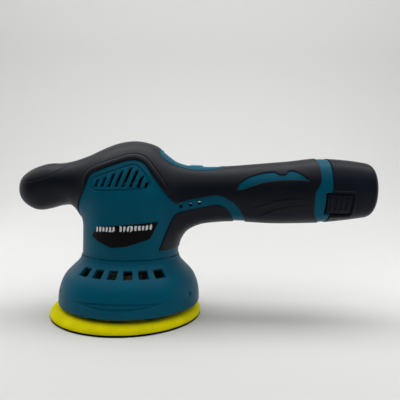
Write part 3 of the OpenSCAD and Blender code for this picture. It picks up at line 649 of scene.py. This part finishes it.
SHARP = math.radians(38)  # edges over this angle are drawn sharp


def added(name, data):
    """New object in the scene."""
    made = bpy.data.objects.new(name, data)
    bpy.context.scene.collection.objects.link(made)
    return made


def piece(name, solid, slot, body, *replaced, look=None):
    """Blender object of a solid that rides on a body and stands for CAD nodes."""
    points, faces = solid
    mesh = bpy.data.meshes.new(name)
    mesh.from_pydata((points * MM).tolist(), [], faces.tolist())
    mesh.validate()
    mesh.shade_smooth()
    mesh.set_sharp_from_angle(angle=SHARP)
    mesh.materials.append(MATERIALS[look or slot])
    made = added(name, mesh)
    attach(made, body)
    if replaced:
        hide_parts(*replaced)
    return made


# ---- materials ----


MATERIALS = {}  # by name; each slot of the record has the material of its name


def tree(made):
    return made.node_tree.nodes, made.node_tree.links


def shader(name, base, roughness, metallic=0.0, gloss=0.5):
    """New material, with its main shader, the object's own coordinates and its links."""
    made = MATERIALS[name] = bpy.data.materials.new(name)
    made.use_nodes = True
    nodes = made.node_tree.nodes
    main = nodes["Principled BSDF"]
    main.inputs["Base Color"].default_value = (*base, 1)
    main.inputs["Roughness"].default_value = roughness
    main.inputs["Metallic"].default_value = metallic
    main.inputs["Specular IOR Level"].default_value = gloss
    place = nodes.new("ShaderNodeTexCoord").outputs["Object"]
    return made, main, place, made.node_tree.links


def noise(made, place, size, detail, stretch=(1, 1, 1)):
    """Noise with features about size millimetres across, from 0 to 1."""
    nodes, links = tree(made)
    scaled = nodes.new("ShaderNodeMapping")
    scaled.inputs["Scale"].default_value = [s / (size * MM) for s in stretch]
    links.new(place, scaled.inputs["Vector"])
    cloud = nodes.new("ShaderNodeTexNoise")
    cloud.inputs["Scale"].default_value = 1.0
    cloud.inputs["Detail"].default_value = detail
    links.new(scaled.outputs["Vector"], cloud.inputs["Vector"])
    return cloud.outputs["Fac"]


def pattern(made, place, kind, size):
    """Texture node of a kind whose unit is size millimetres."""
    nodes, links = tree(made)
    node = nodes.new("ShaderNodeTex" + kind)
    node.inputs["Scale"].default_value = 1 / (size * MM)
    links.new(place, node.inputs["Vector"])
    return node


def ramp(made, value, stops):
    """Colour or number ramp over value between two stops, each a place and a colour."""
    nodes, links = tree(made)
    node = nodes.new("ShaderNodeValToRGB")
    for step, (at, colour) in zip(node.color_ramp.elements, stops):
        step.position = at
        step.color = (*colour, 1) if len(colour) == 3 else (*colour * 3, 1)
    links.new(value, node.inputs["Fac"])
    return node.outputs["Color"]


def span(made, value, low, high):
    """Value from 0..1 mapped to low..high."""
    nodes, links = tree(made)
    node = nodes.new("ShaderNodeMapRange")
    node.inputs["To Min"].default_value = low
    node.inputs["To Max"].default_value = high
    links.new(value, node.inputs["Value"])
    return node.outputs["Result"]


def bump(made, main, height, depth, strength=1.0):
    """Fine relief of depth millimetres on the main shader, over any that is there."""
    nodes, links = tree(made)
    node = nodes.new("ShaderNodeBump")
    node.inputs["Distance"].default_value = depth * MM
    node.inputs["Strength"].default_value = strength
    links.new(height, node.inputs["Height"])
    socket = main.inputs["Normal"]
    if socket.is_linked:
        links.new(socket.links[0].from_socket, node.inputs["Normal"])
    links.new(node.outputs["Normal"], socket)


def worn_edges(made, colour, light, amount):
    """Mixes a lighter colour in where edges stick out and are rubbed."""
    nodes, links = tree(made)
    point = nodes.new("ShaderNodeNewGeometry").outputs["Pointiness"]
    flat, rubbed = 0.52, 0.6  # pointiness where the wear starts and where it is full
    edge = ramp(made, point, [(flat, (0.0,)), (rubbed, (amount,))])
    mix = nodes.new("ShaderNodeMix")
    mix.data_type = "RGBA"
    links.new(edge, mix.inputs["Factor"])
    links.new(colour, mix.inputs["A"])
    mix.inputs["B"].default_value = (*light, 1)
    return mix.outputs["Result"]


PATCH, SHEEN, WAVE = 22, 7, 6  # sizes of plastic's uneven colour, gloss and surface


def plastic(name, base, roughness, grain, relief, mottle=0.12, wear=0.25, gloss=0.25):
    """Moulded plastic or rubber with spark-eroded grain, uneven sheen and rubbed edges."""
    made, main, place, links = shader(name, base, roughness, gloss=gloss)
    broad = noise(made, place, PATCH, 4)
    dark = [c * (1 - mottle) for c in base]
    light = [c * (1 + mottle) for c in base]
    tone = ramp(made, broad, [(0.3, dark), (0.7, light)])
    tone = worn_edges(made, tone, [1.4 * c + 0.005 for c in base], wear)
    links.new(tone, main.inputs["Base Color"])
    sheen = noise(made, place, SHEEN, 5)
    links.new(span(made, sheen, roughness - 0.06, roughness + 0.08), main.inputs["Roughness"])
    bump(made, main, noise(made, place, grain, 2), relief)
    bump(made, main, noise(made, place, WAVE, 2), 0.03, 0.35)


def metal(name, base, roughness):
    """Metal with fine drawn scratches and slightly stained patches."""
    made, main, place, links = shader(name, base, roughness, 1.0)
    stain = ramp(made, noise(made, place, 9, 4), [(0.35, [c * 0.8 for c in base]), (0.65, base)])
    links.new(stain, main.inputs["Base Color"])
    scratch = noise(made, place, 0.6, 4, (1, 1, 6))
    links.new(span(made, scratch, roughness - 0.08, roughness + 0.15), main.inputs["Roughness"])
    bump(made, main, scratch, 0.01)


def foam(name, base):
    """Moulded foam skin: closed, dense, with small pits and a little dust."""
    made, main, place, links = shader(name, base, 0.7, gloss=0.03)
    tone = ramp(made, noise(made, place, 14, 5), [
        (0.3, [c * 0.86 for c in base]), (0.7, [min(1, c * 1.06) for c in base])])
    links.new(tone, main.inputs["Base Color"])
    pits = pattern(made, place, "Voronoi", 0.9).outputs["Distance"]
    pitted = ramp(made, pits, [(0.05, (0.0,)), (0.28, (1.0,))])
    bump(made, main, pitted, 0.05, 0.6)
    bump(made, main, noise(made, place, 3, 3), 0.08, 0.5)


def hook_fabric(name, base):
    """Hook tape: rows of tiny hooks on a woven ground."""
    made, main, place, links = shader(name, base, 0.75, gloss=0.1)
    hooks = pattern(made, place, "Voronoi", 1.1)
    hooks.inputs["Randomness"].default_value = 0.35
    tuft = ramp(made, hooks.outputs["Distance"], [(0.1, (1.0,)), (0.45, (0.0,))])
    tone = ramp(made, hooks.outputs["Distance"], [
        (0.1, [c * 2.2 + 0.003 for c in base]), (0.5, base)])
    links.new(tone, main.inputs["Base Color"])
    bump(made, main, tuft, 0.5, 0.8)


def circuit_board(name):
    """Solder-masked board with a faint pattern of tracks."""
    made, main, place, links = shader(name, (0.01, 0.12, 0.05), 0.35)
    tracks = pattern(made, place, "Brick", 9)
    tracks.inputs["Color1"].default_value = (0.008, 0.10, 0.04, 1)
    tracks.inputs["Color2"].default_value = (0.01, 0.14, 0.06, 1)
    tracks.inputs["Mortar"].default_value = (0.02, 0.2, 0.09, 1)
    links.new(tracks.outputs["Color"], main.inputs["Base Color"])
    bump(made, main, tracks.outputs["Fac"], 0.03)


def windings(name, base):
    """Enamelled copper wire laid side by side."""
    made, main, place, links = shader(name, base, 0.3, 1.0)
    rows = pattern(made, place, "Wave", 1.6)
    rows.inputs["Distortion"].default_value = 0.6
    tone = ramp(made, rows.outputs["Fac"], [(0.2, [c * 0.5 for c in base]), (0.8, base)])
    links.new(tone, main.inputs["Base Color"])
    bump(made, main, rows.outputs["Fac"], 0.1)


plastic("teal_plastic", (0.0002, 0.083, 0.139), 0.38, grain=0.45, relief=0.012, mottle=0.08, gloss=0.07)
plastic("grip_rubber", (0.0025, 0.0048, 0.010), 0.44, grain=0.35, relief=0.03, gloss=0.17)
plastic("battery_plastic", (0.009, 0.0115, 0.018), 0.36, grain=0.4, relief=0.02, gloss=0.06)
plastic("black_plastic", (0.008, 0.008, 0.01), 0.5, grain=0.8, relief=0.03, mottle=0.25)
plastic("label_film", (0.003, 0.003, 0.004), 0.3, grain=3.0, relief=0.004, wear=0.1, gloss=0.08)
plastic("label_print", (0.72, 0.74, 0.74), 0.35, grain=0.6, relief=0.01, mottle=0.06, wear=0.0)
plastic("button_plastic", (0.10, 0.36, 0.42), 0.25, grain=1.2, relief=0.01, mottle=0.06)
plastic("magnet", (0.03, 0.03, 0.032), 0.6, grain=0.3, relief=0.05, mottle=0.3)
plastic("cell", (0.02, 0.10, 0.28), 0.25, grain=4.0, relief=0.02, mottle=0.08)
plastic("wire", (0.22, 0.015, 0.012), 0.4, grain=0.8, relief=0.02, mottle=0.15)
foam("pad_foam", (0.78, 0.71, 0.001))
hook_fabric("hook", (0.005, 0.004, 0.004))
metal("steel", (0.56, 0.57, 0.59), 0.3)
metal("brass", (0.72, 0.52, 0.2), 0.28)
windings("copper", (0.72, 0.32, 0.14))
circuit_board("board")


def finish_cad_nodes():
    """Gives every CAD node the material of its slot in the record."""
    for subpart in frame["record"]["subparts"]:
        mesh = frame["nodes"][subpart["node"]].data
        mesh.materials.clear()
        mesh.materials.append(MATERIALS[subpart["material_slot"]])


# ---- the pieces, in turn ----


def half_body():
    """The left half of the whole body as a skin."""
    low, high = (-99, -44, FOOT_Z - 3), (212, 2, 146)
    points, faces = surface_net(body_field, low, high, GRID)
    points = relax(body_field, points, faces)
    half = Skin(body_field, points, faces)
    return half.keep(beyond(1, 0, -1)).keep(beyond(2, FOOT_Z))


def whole_body(half):
    """Both halves with their seam welded."""
    other = half.mirrored()
    points = np.vstack([half.points, other.points])
    faces = np.vstack([half.faces, other.faces + len(half.points)])
    seam = np.abs(points[:, 1]) < 0.002
    points[seam, 1] = 0
    return Skin(body_field, *welded(points, faces))


SEAM = 0.05  # half the gap between the two halves
SEAM_EDGE, FOOT_EDGE, CUT_EDGE, GRIP_EDGE = 0.25, 0.15, 0.35, 0.5  # radii of rounded edges
NOSE_END = -200  # an x before the whole tool
HOLE_IN_CASE, HOLE_IN_GRIP = 3.4, 3.8  # radii of the screw holes
POST_IN, POST_OUT = 3.35, 4.2  # radii of the posts around the screws
TRIM_WALL, LATCH_WALL, SHROUD_WALL = 1.6, 2.4, 2.5
FILM_TOP, FILM_WALL = 0.3, 0.28  # the sticker's film over the plastic
PRINT_TOP, PRINT_WALL = 0.36, 0.1  # its print, which starts inside the film


def on_side(half, side):
    return half if side == LEFT else half.mirrored()


def seam_side(side):
    return lambda p: SEAM - side * p[:, 1]


def ramp_to(high, run):
    """Height that grows evenly to high over a run inside a border."""
    return lambda m: high * np.clip(-m / run, 0, 1)


def round_to(high, run):
    """Height that grows in a quarter round to high over a run inside a border."""
    return lambda m: high * np.sqrt(1 - (1 - np.clip(-m / run, 0, 1)) ** 2)


def screw_cuts(skin, side, r):
    """Screw holes, which only the right half has."""
    if side == RIGHT:
        for x, z, _ in SCREWS:
            if skin.points[:, 0].min() < x < skin.points[:, 0].max():
                skin.border(outside(disc(x, z, r)), 0.3)


def housing(half, side):
    """Plastic half with its vents, latch notch, sunk trim seat and screw posts."""
    skin = on_side(half, side).part(NOSE_END, JOINT_X + 3)
    skin.border(beyond(0, JOINT_X, -1), CUT_EDGE)
    skin.border(beyond(2, FOOT_Z + ON_LINE), FOOT_EDGE)
    skin.border(seam_side(side), SEAM_EDGE)
    skin.border(outside(notch_region), 0.4)
    for slot in vent_slots():
        skin.border(outside(slot), CUT_EDGE)
    for vent in band_vents():
        skin.border(outside(vent), 0.3)
    skin.keep(outside(button_hole(0.4)))
    screw_cuts(skin, side, HOLE_IN_CASE)
    skin.groove(panel_region, 1.05, 0.85)
    skin.lift(trim_region, (0, -0.3), ramp_to(-0.95, 0.3))
    solid = skin.solid(-SKIN, WALL)
    if side == LEFT:
        return solid
    posts = [solid]
    for x, z, head in SCREWS:
        wall = land(body_field, np.array([[x, 30.0, z]]), disc(x, z, 0))[0, 1]
        posts.append(tube_wall(x, z, POST_IN, POST_OUT, head - 1, wall - SKIN - 1))
    return joined(*posts)


def overmould(half, side):
    """Soft grip of one half, with the raised bead around the neck and the handle grooves."""
    skin = on_side(half, side).part(NOSE_END, JOINT_X - 6)
    skin.border(seam_side(side), SEAM_EDGE)
    skin.border(grip_region, GRIP_EDGE)
    skin.border(outside(palm_region), 0.45)
    skin.border(outside(trim_region), 0.4)
    skin.border(outside(crescent_region), GRIP_EDGE)
    screw_cuts(skin, side, HOLE_IN_GRIP)
    skin.lift(bead_region, (0, -0.25, -0.8, -1.6), round_to(1, 2.2))
    skin.groove(track(BEAD_LINE), 0.55, 0.45, between(BEAD_LINE, 3))
    for points in HANDLE_GROOVES:
        skin.groove(track(points), 0.65, 0.55, between(points, 4))
    return skin.solid(0, SKIN)


def finger_grip(half, side):
    """Soft grip under the handle and down the front of the neck."""
    skin = on_side(half, side).part(20, 96)
    skin.border(seam_side(side), SEAM_EDGE)
    skin.border(finger_region, GRIP_EDGE)
    skin.border(beyond(2, 56.2), GRIP_EDGE)
    screw_cuts(skin, side, HOLE_IN_GRIP)
    return skin.solid(0, SKIN)


def palm_pad(body):
    """Soft pad over the top of the nose."""
    skin = body.part(NOSE_END, -24)
    skin.border(palm_region, 0.45)
    return skin.solid(0, SKIN)


def saddle_trim(body):
    """Trim in the saddle with a raised rim and a recess inside it."""
    skin = body.part(18, 90)
    skin.border(trim_region, 0.4)
    skin.border(outside(button_hole(0.25)), 0.3)
    depths, heights = (1.5, 1.8, 2.6), (0.15, -0.6, -0.25)  # the rim, a groove and the field
    skin.lift(trim_region, [-d for d in depths], lambda m: np.interp(-m, depths, heights))
    return skin.solid(0, TRIM_WALL)


def label_plate(half):
    """Thin film of the sticker on the left of the neck."""
    skin = half.part(-40, 40)
    skin.border(region(np.array(LABEL, float)), 0.12)
    return skin.solid(-SKIN + FILM_TOP, FILM_WALL)


def label_print(half):
    """Two groups of plain slanted bars where such stickers carry their words."""
    start, pitch, wide, tall, lean, gap = -21.5, 2.75, 1.65, 3.9, 0.3, 6  # gap: the bar left out
    bars = []
    for i in [k for k in range(16) if k != gap]:
        x = start + pitch * i
        z = 70.6 + 0.06 * (x - start)
        skin = half.part(x - 4, x + 6)
        skin.keep(region(np.array([
            (x, z), (x + wide, z), (x + wide + lean, z + tall), (x + lean, z + tall),
        ])))
        bars.append(skin.solid(-SKIN + PRINT_TOP, PRINT_WALL, 1))
    return joined(*bars)


def battery_cup(body):
    """Battery case with latch windows and a raised lip around each."""
    skin = body.part(CUP_X - 4, 300)
    skin.border(beyond(0, CUP_X), 0.4)
    skin.border(outside(window_region), CUT_EDGE)
    levels, heights = (0.5, 0.9, 2.0, 2.5), (0, 0.55, 0.55, 0)  # of the lip
    skin.lift(window_region, levels, lambda m: np.interp(m, levels, heights))
    return skin.solid(-0.2, WALL)


def latch(half, side):
    """Thumb plate with four ribs."""
    skin = on_side(half, side).part(150, 190)
    skin.border(latch_region, GRIP_EDGE)
    first, pitch = 161.4, 4.4
    for i in range(4):
        rib = rounded_box(first + pitch * i, 95.4, 1.25, 6.2, 1.2)
        skin.lift(rib, (0, -0.25, -0.7, -1.1), round_to(1, 1.1))
    return skin.solid(-0.5, LATCH_WALL)


def shroud_skin():
    """The outer face of the shroud as a skin."""
    turns, rows = 220, 34
    z = np.linspace(SHROUD[0][0], SHROUD[-1][0], rows)
    points = turned(shroud_radius(z), z, turns)
    i, k = np.meshgrid(np.arange(turns), np.arange(rows - 1), indexing="ij")
    a, b = i * rows + k, (i + 1) % turns * rows + k
    return Skin(shroud_field, points, net_faces(a, b, b + 1, a + 1))


def shroud_windows():
    """Regions of the six windows, which lean a little to the middle."""
    pitch, low, high, half_low, half_high, fan = 11.2, 37.5, 43, 3.7, 3.3, 0.06
    windows = []
    for i in range(6):
        x = pitch * (i - 2.5)
        foot, head = x * (1 + fan), x * (1 - fan)
        windows.append(region(np.array([
            (foot - half_low, low), (foot + half_low, low), (head + half_high, high),
            (head - half_high, high),
        ])))
    return windows


def ball(centre, r):
    return lambda p: np.linalg.norm(p - centre, axis=1) - r


def bowed_line(height, bow):
    """Measure of a level line whose ends are off by bow 30 mm to each side."""
    return lambda p: p[:, 2] - height - bow * (p[:, 0] / 30) ** 2


def shroud():
    """Round shroud with its windows, screw dimples and two mould lines at the front and back."""
    skin = shroud_skin()
    skin.border(beyond(2, SHROUD[0][0] + ON_LINE), 0.9)
    skin.border(beyond(2, SHROUD[-1][0] - ON_LINE, -1), FOOT_EDGE)
    for window in shroud_windows():
        skin.border(outside(window), 0.25)
    dimple_at, dimple_z = 57.6, 22
    for angle in (-27, 27, 153, 207):
        a = math.radians(angle)
        centre = np.array([dimple_at * math.cos(a), dimple_at * math.sin(a), dimple_z])
        skin.lift(ball(centre, 2.3), (0, -0.3, -0.8), ramp_to(-0.9, 0.8))
    share = between([(-33,), (33,)], 8)
    for height, bow in ((21.5, -1.1), (18, 2.1)):
        skin.groove(bowed_line(height, bow), 0.9, 0.7, share)
    return skin.solid(0, SHROUD_WALL)


def pad_profile():
    """Foam pad's section: flat below, a thick rounded rim, and a crown that falls to the rim."""
    hole_r, foot = 32.15, 1.6
    top = [(62.45, 1.75), (62.35, 2.8), (61.7, 4.2), (60.2, 5.8), (58, 7.1), (54, 8.3), (48, 9.1),
           (40, 9.6), (33.2, 9.8)]
    curve = [tuple(q) for q in rounded_path(top, 4)]
    return [(hole_r, 8.3), (hole_r, foot), (62.2, foot)] + curve + [(hole_r, 9.75)]


def hook_profile():
    """Hook layer's section: a disc with a rounded rim that stands a little higher there."""
    return [(0, 0), (61.9, 0), (62.3, 0.3), (62.45, 0.8), (62.3, 1.3), (61.9, 1.55), (32.2, 1.55),
            (32.1, 1.2), (0, 1.2)]


def button_rod(r, low, high, sides):
    return lathe([(0, low), (r, low), (r, high), (0, high)], sides, BUTTON_X)


def switch_button():
    """Capsule-shaped cap with a domed top, its skirt and stem."""
    stem_z = cad_range("switch_button")[0][2]
    flange_z, cap_z, gap = 117.2, 118, 0.05  # gap: left between the three solids
    rings = [  # height and share of the full outline
        (cap_z, 1.0), (124.0, 1.0), (124.5, 0.94), (124.85, 0.8), (125.0, 0.55), (125.05, 0.2),
    ]
    sides = 48
    angle = np.linspace(0, 2 * np.pi, sides, endpoint=False)
    x = BUTTON_R * np.cos(angle) + BUTTON_HALF * np.sign(np.cos(angle))
    y = BUTTON_R * np.sin(angle)
    points = [
        np.stack([BUTTON_X + share * x, share * y, np.full(sides, z)], 1) for z, share in rings
    ]
    i, k = np.meshgrid(np.arange(len(rings) - 1), np.arange(sides), indexing="ij")
    a, b = i * sides + k, i * sides + (k + 1) % sides
    walls = net_faces(a, b, b + sides, a + sides)
    n = len(rings) * sides
    ends = np.array([[BUTTON_X, 0, rings[0][0]], [BUTTON_X, 0, rings[-1][0] + 0.02]])
    k = np.arange(sides)
    k2 = (k + 1) % sides
    bottom = np.stack([k2, k, np.full(sides, n)], 1)
    last = (len(rings) - 1) * sides
    top = np.stack([last + k, last + k2, np.full(sides, n + 1)], 1)
    cap = np.vstack(points + [ends]), np.vstack([walls, bottom, top])
    return joined(cap, button_rod(6.2, flange_z, cap_z - gap, 40),
                  button_rod(1.5, stem_z, flange_z - gap, 24))


def button_spring():
    """Round wire wound under the button's flange, on the small switch's board."""
    low, high = cad_range("switch_spring")
    wire, turns, steps, sides = 0.3, 3, 28, 10
    r = (high[0] - low[0]) / 2 - wire
    share = np.linspace(0, 1, turns * steps + 1)
    angle = 2 * np.pi * turns * share
    out = np.stack([np.cos(angle), np.sin(angle), 0 * angle], 1)
    foot = np.array([BUTTON_X, 0, low[2] + wire])
    middle = foot + r * out + np.outer(share * (high[2] - low[2] - 2 * wire - 0.1), (0, 0, 1))
    b = np.linspace(0, 2 * np.pi, sides, endpoint=False)[None, :, None]
    rings = middle[:, None] + wire * (np.cos(b) * out[:, None] + np.sin(b) * np.array([0, 0, 1.0]))
    n = len(share)
    i, k = np.meshgrid(np.arange(n - 1), np.arange(sides), indexing="ij")
    a, c = i * sides + k, i * sides + (k + 1) % sides
    walls = net_faces(a, c, c + sides, a + sides)
    k = np.arange(1, sides - 1)
    end = np.stack([0 * k, k + 1, k], 1)
    last = (n - 1) * sides
    faces = np.vstack([walls, end, end[:, ::-1] + last])
    return rings.reshape(-1, 3), faces[:, ::-1]


def build():
    half = half_body()
    body = whole_body(half)
    for side, word in ((LEFT, "left"), (RIGHT, "right")):
        piece(f"{word}_case", housing(half, side), "teal_plastic", "housing", f"{word}_housing")
        piece(f"{word}_grip", overmould(half, side), "grip_rubber", "housing", f"{word}_overmould")
        piece(f"{word}_finger_pad", finger_grip(half, side), "grip_rubber", "housing",
              f"{word}_finger_grip")
        piece(f"{word}_thumb_latch", latch(half, side), "battery_plastic", f"{word}_latch",
              f"{word}_latch")
    piece("nose_palm_pad", palm_pad(body), "grip_rubber", "housing", "palm_pad")
    piece("saddle_panel", saddle_trim(body), "teal_plastic", "housing", "saddle_trim")
    piece("sticker", label_plate(half), "label_film", "housing", "label_plate")
    piece("sticker_print", label_print(half), "label_film", "housing", look="label_print")
    piece("battery_case", battery_cup(body), "battery_plastic", "battery", "battery_cup")
    piece("shroud_shell", shroud(), "teal_plastic", "housing", "shroud")
    foam_pad = piece("foam_pad", lathe(pad_profile(), 200, PAD_X), "pad_foam", "pad", "pad_foam")
    piece("hook_layer", lathe(hook_profile(), 200, PAD_X), "hook", "pad", "hook_face")
    piece("push_button", switch_button(), "button_plastic", "switch", "switch_button")
    spring = piece("button_spring", button_spring(), "steel", "housing", "switch_spring")
    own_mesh(spring)


# ---- camera, light and floor ----


def stand(made, at, right, up, back):
    """Puts an object at a place, with its own three axes along the given ones."""
    turn = Matrix([[right[i], up[i], back[i]] for i in range(3)]).to_4x4()
    made.matrix_world = Matrix.Translation(at * MM) @ turn


def camera():
    """Camera at the height of the handle, tipped a little down and rolled a little."""
    at = np.array([57.6, -323.3, 108.0])
    down, roll = 0.0392, 0.0225  # radians
    ahead = np.array([0, math.cos(down), -math.sin(down)])
    up = np.array([0, math.sin(down), math.cos(down)])
    right = np.array([1.0, 0, 0])
    across = math.cos(roll) * right + math.sin(roll) * up
    upright = -math.sin(roll) * right + math.cos(roll) * up
    lens = bpy.data.cameras.new("camera")
    lens.lens = 34.2
    lens.sensor_width = 36
    lens.clip_start = 0.01
    made = added("camera", lens)
    stand(made, at, across, upright, -ahead)
    bpy.context.scene.camera = made


def area_light(name, at, size, watts, aim):
    data = bpy.data.lights.new(name, "AREA")
    data.shape = "RECTANGLE"
    data.size, data.size_y = size[0] * MM, size[1] * MM
    data.energy = watts
    at, aim = np.array(at, float), np.array(aim, float)
    back = (at - aim) / np.linalg.norm(at - aim)
    side = np.cross((0, 1, 0) if abs(back[2]) > 0.9 else (0, 0, 1), back)
    side /= np.linalg.norm(side)
    stand(added(name, data), at, side, np.cross(back, side), back)


def sweep():
    """Pale paper: a floor that curves up into a wall behind the tool."""
    wide, front, bend_y, bend_r, high = 1800, -1500, 90, 390, 1800
    arc = [(bend_y + bend_r * math.sin(a), bend_r * (1 - math.cos(a)))
           for a in np.linspace(0, math.pi / 2, 25)]
    path = [(front, 0)] + arc + [(bend_y + bend_r, high)]
    points = [(x, y, z) for y, z in path for x in (-wide, wide)]
    faces = [(2 * i, 2 * i + 1, 2 * i + 3, 2 * i + 2) for i in range(len(path) - 1)]
    mesh = bpy.data.meshes.new("paper_sweep")
    mesh.from_pydata((np.array(points) * MM).tolist(), [], faces)
    mesh.shade_smooth()
    made, main, place, _ = shader("paper", (0.66, 0.66, 0.65), 0.9)
    bump(made, main, noise(made, place, 2.5, 3), 0.03, 0.3)
    mesh.materials.append(made)
    paper = added("paper_sweep", mesh)


LIGHTS = [  # name, place, size, watts and aim
    ("ceiling", (60, 100, 1000), (3000, 2000), 18.5, (60, 100, 0)),
    ("top_softbox", (60, 110, 700), (1300, 300), 3.7, (60, 110, 0)),
    ("front_softbox", (60, -500, 900), (1800, 700), 1.4, (60, 0, 0)),
    ("left_softbox", (-350, 30, 160), (150, 260), 0.09, (0, 0, 70)),
    ("left_back_softbox", (-300, 180, 200), (120, 200), 0.08, (0, 0, 70)),
    ("right_softbox", (470, 60, 160), (150, 260), 0.18, (0, 0, 70)),
]
ROOM_LIGHT, ROOM_SEEN = 0.01, 0.75  # strength of the room on the tool and to the camera


def lights():
    """Pale room around the set, and the lamps."""
    world = bpy.data.worlds.new("room")
    world.use_nodes = True
    nodes, links = tree(world)
    camera_ray = nodes.new("ShaderNodeLightPath").outputs["Is Camera Ray"]
    strength = span(world, camera_ray, ROOM_LIGHT, ROOM_SEEN)
    nodes["Background"].inputs["Color"].default_value = (0.97, 0.98, 1.0, 1)
    links.new(strength, nodes["Background"].inputs["Strength"])
    bpy.context.scene.world = world
    for row in LIGHTS:
        area_light(*row)
    bpy.context.scene.view_settings.view_transform = "Standard"


camera()
sweep()
lights()
finish_cad_nodes()
build()
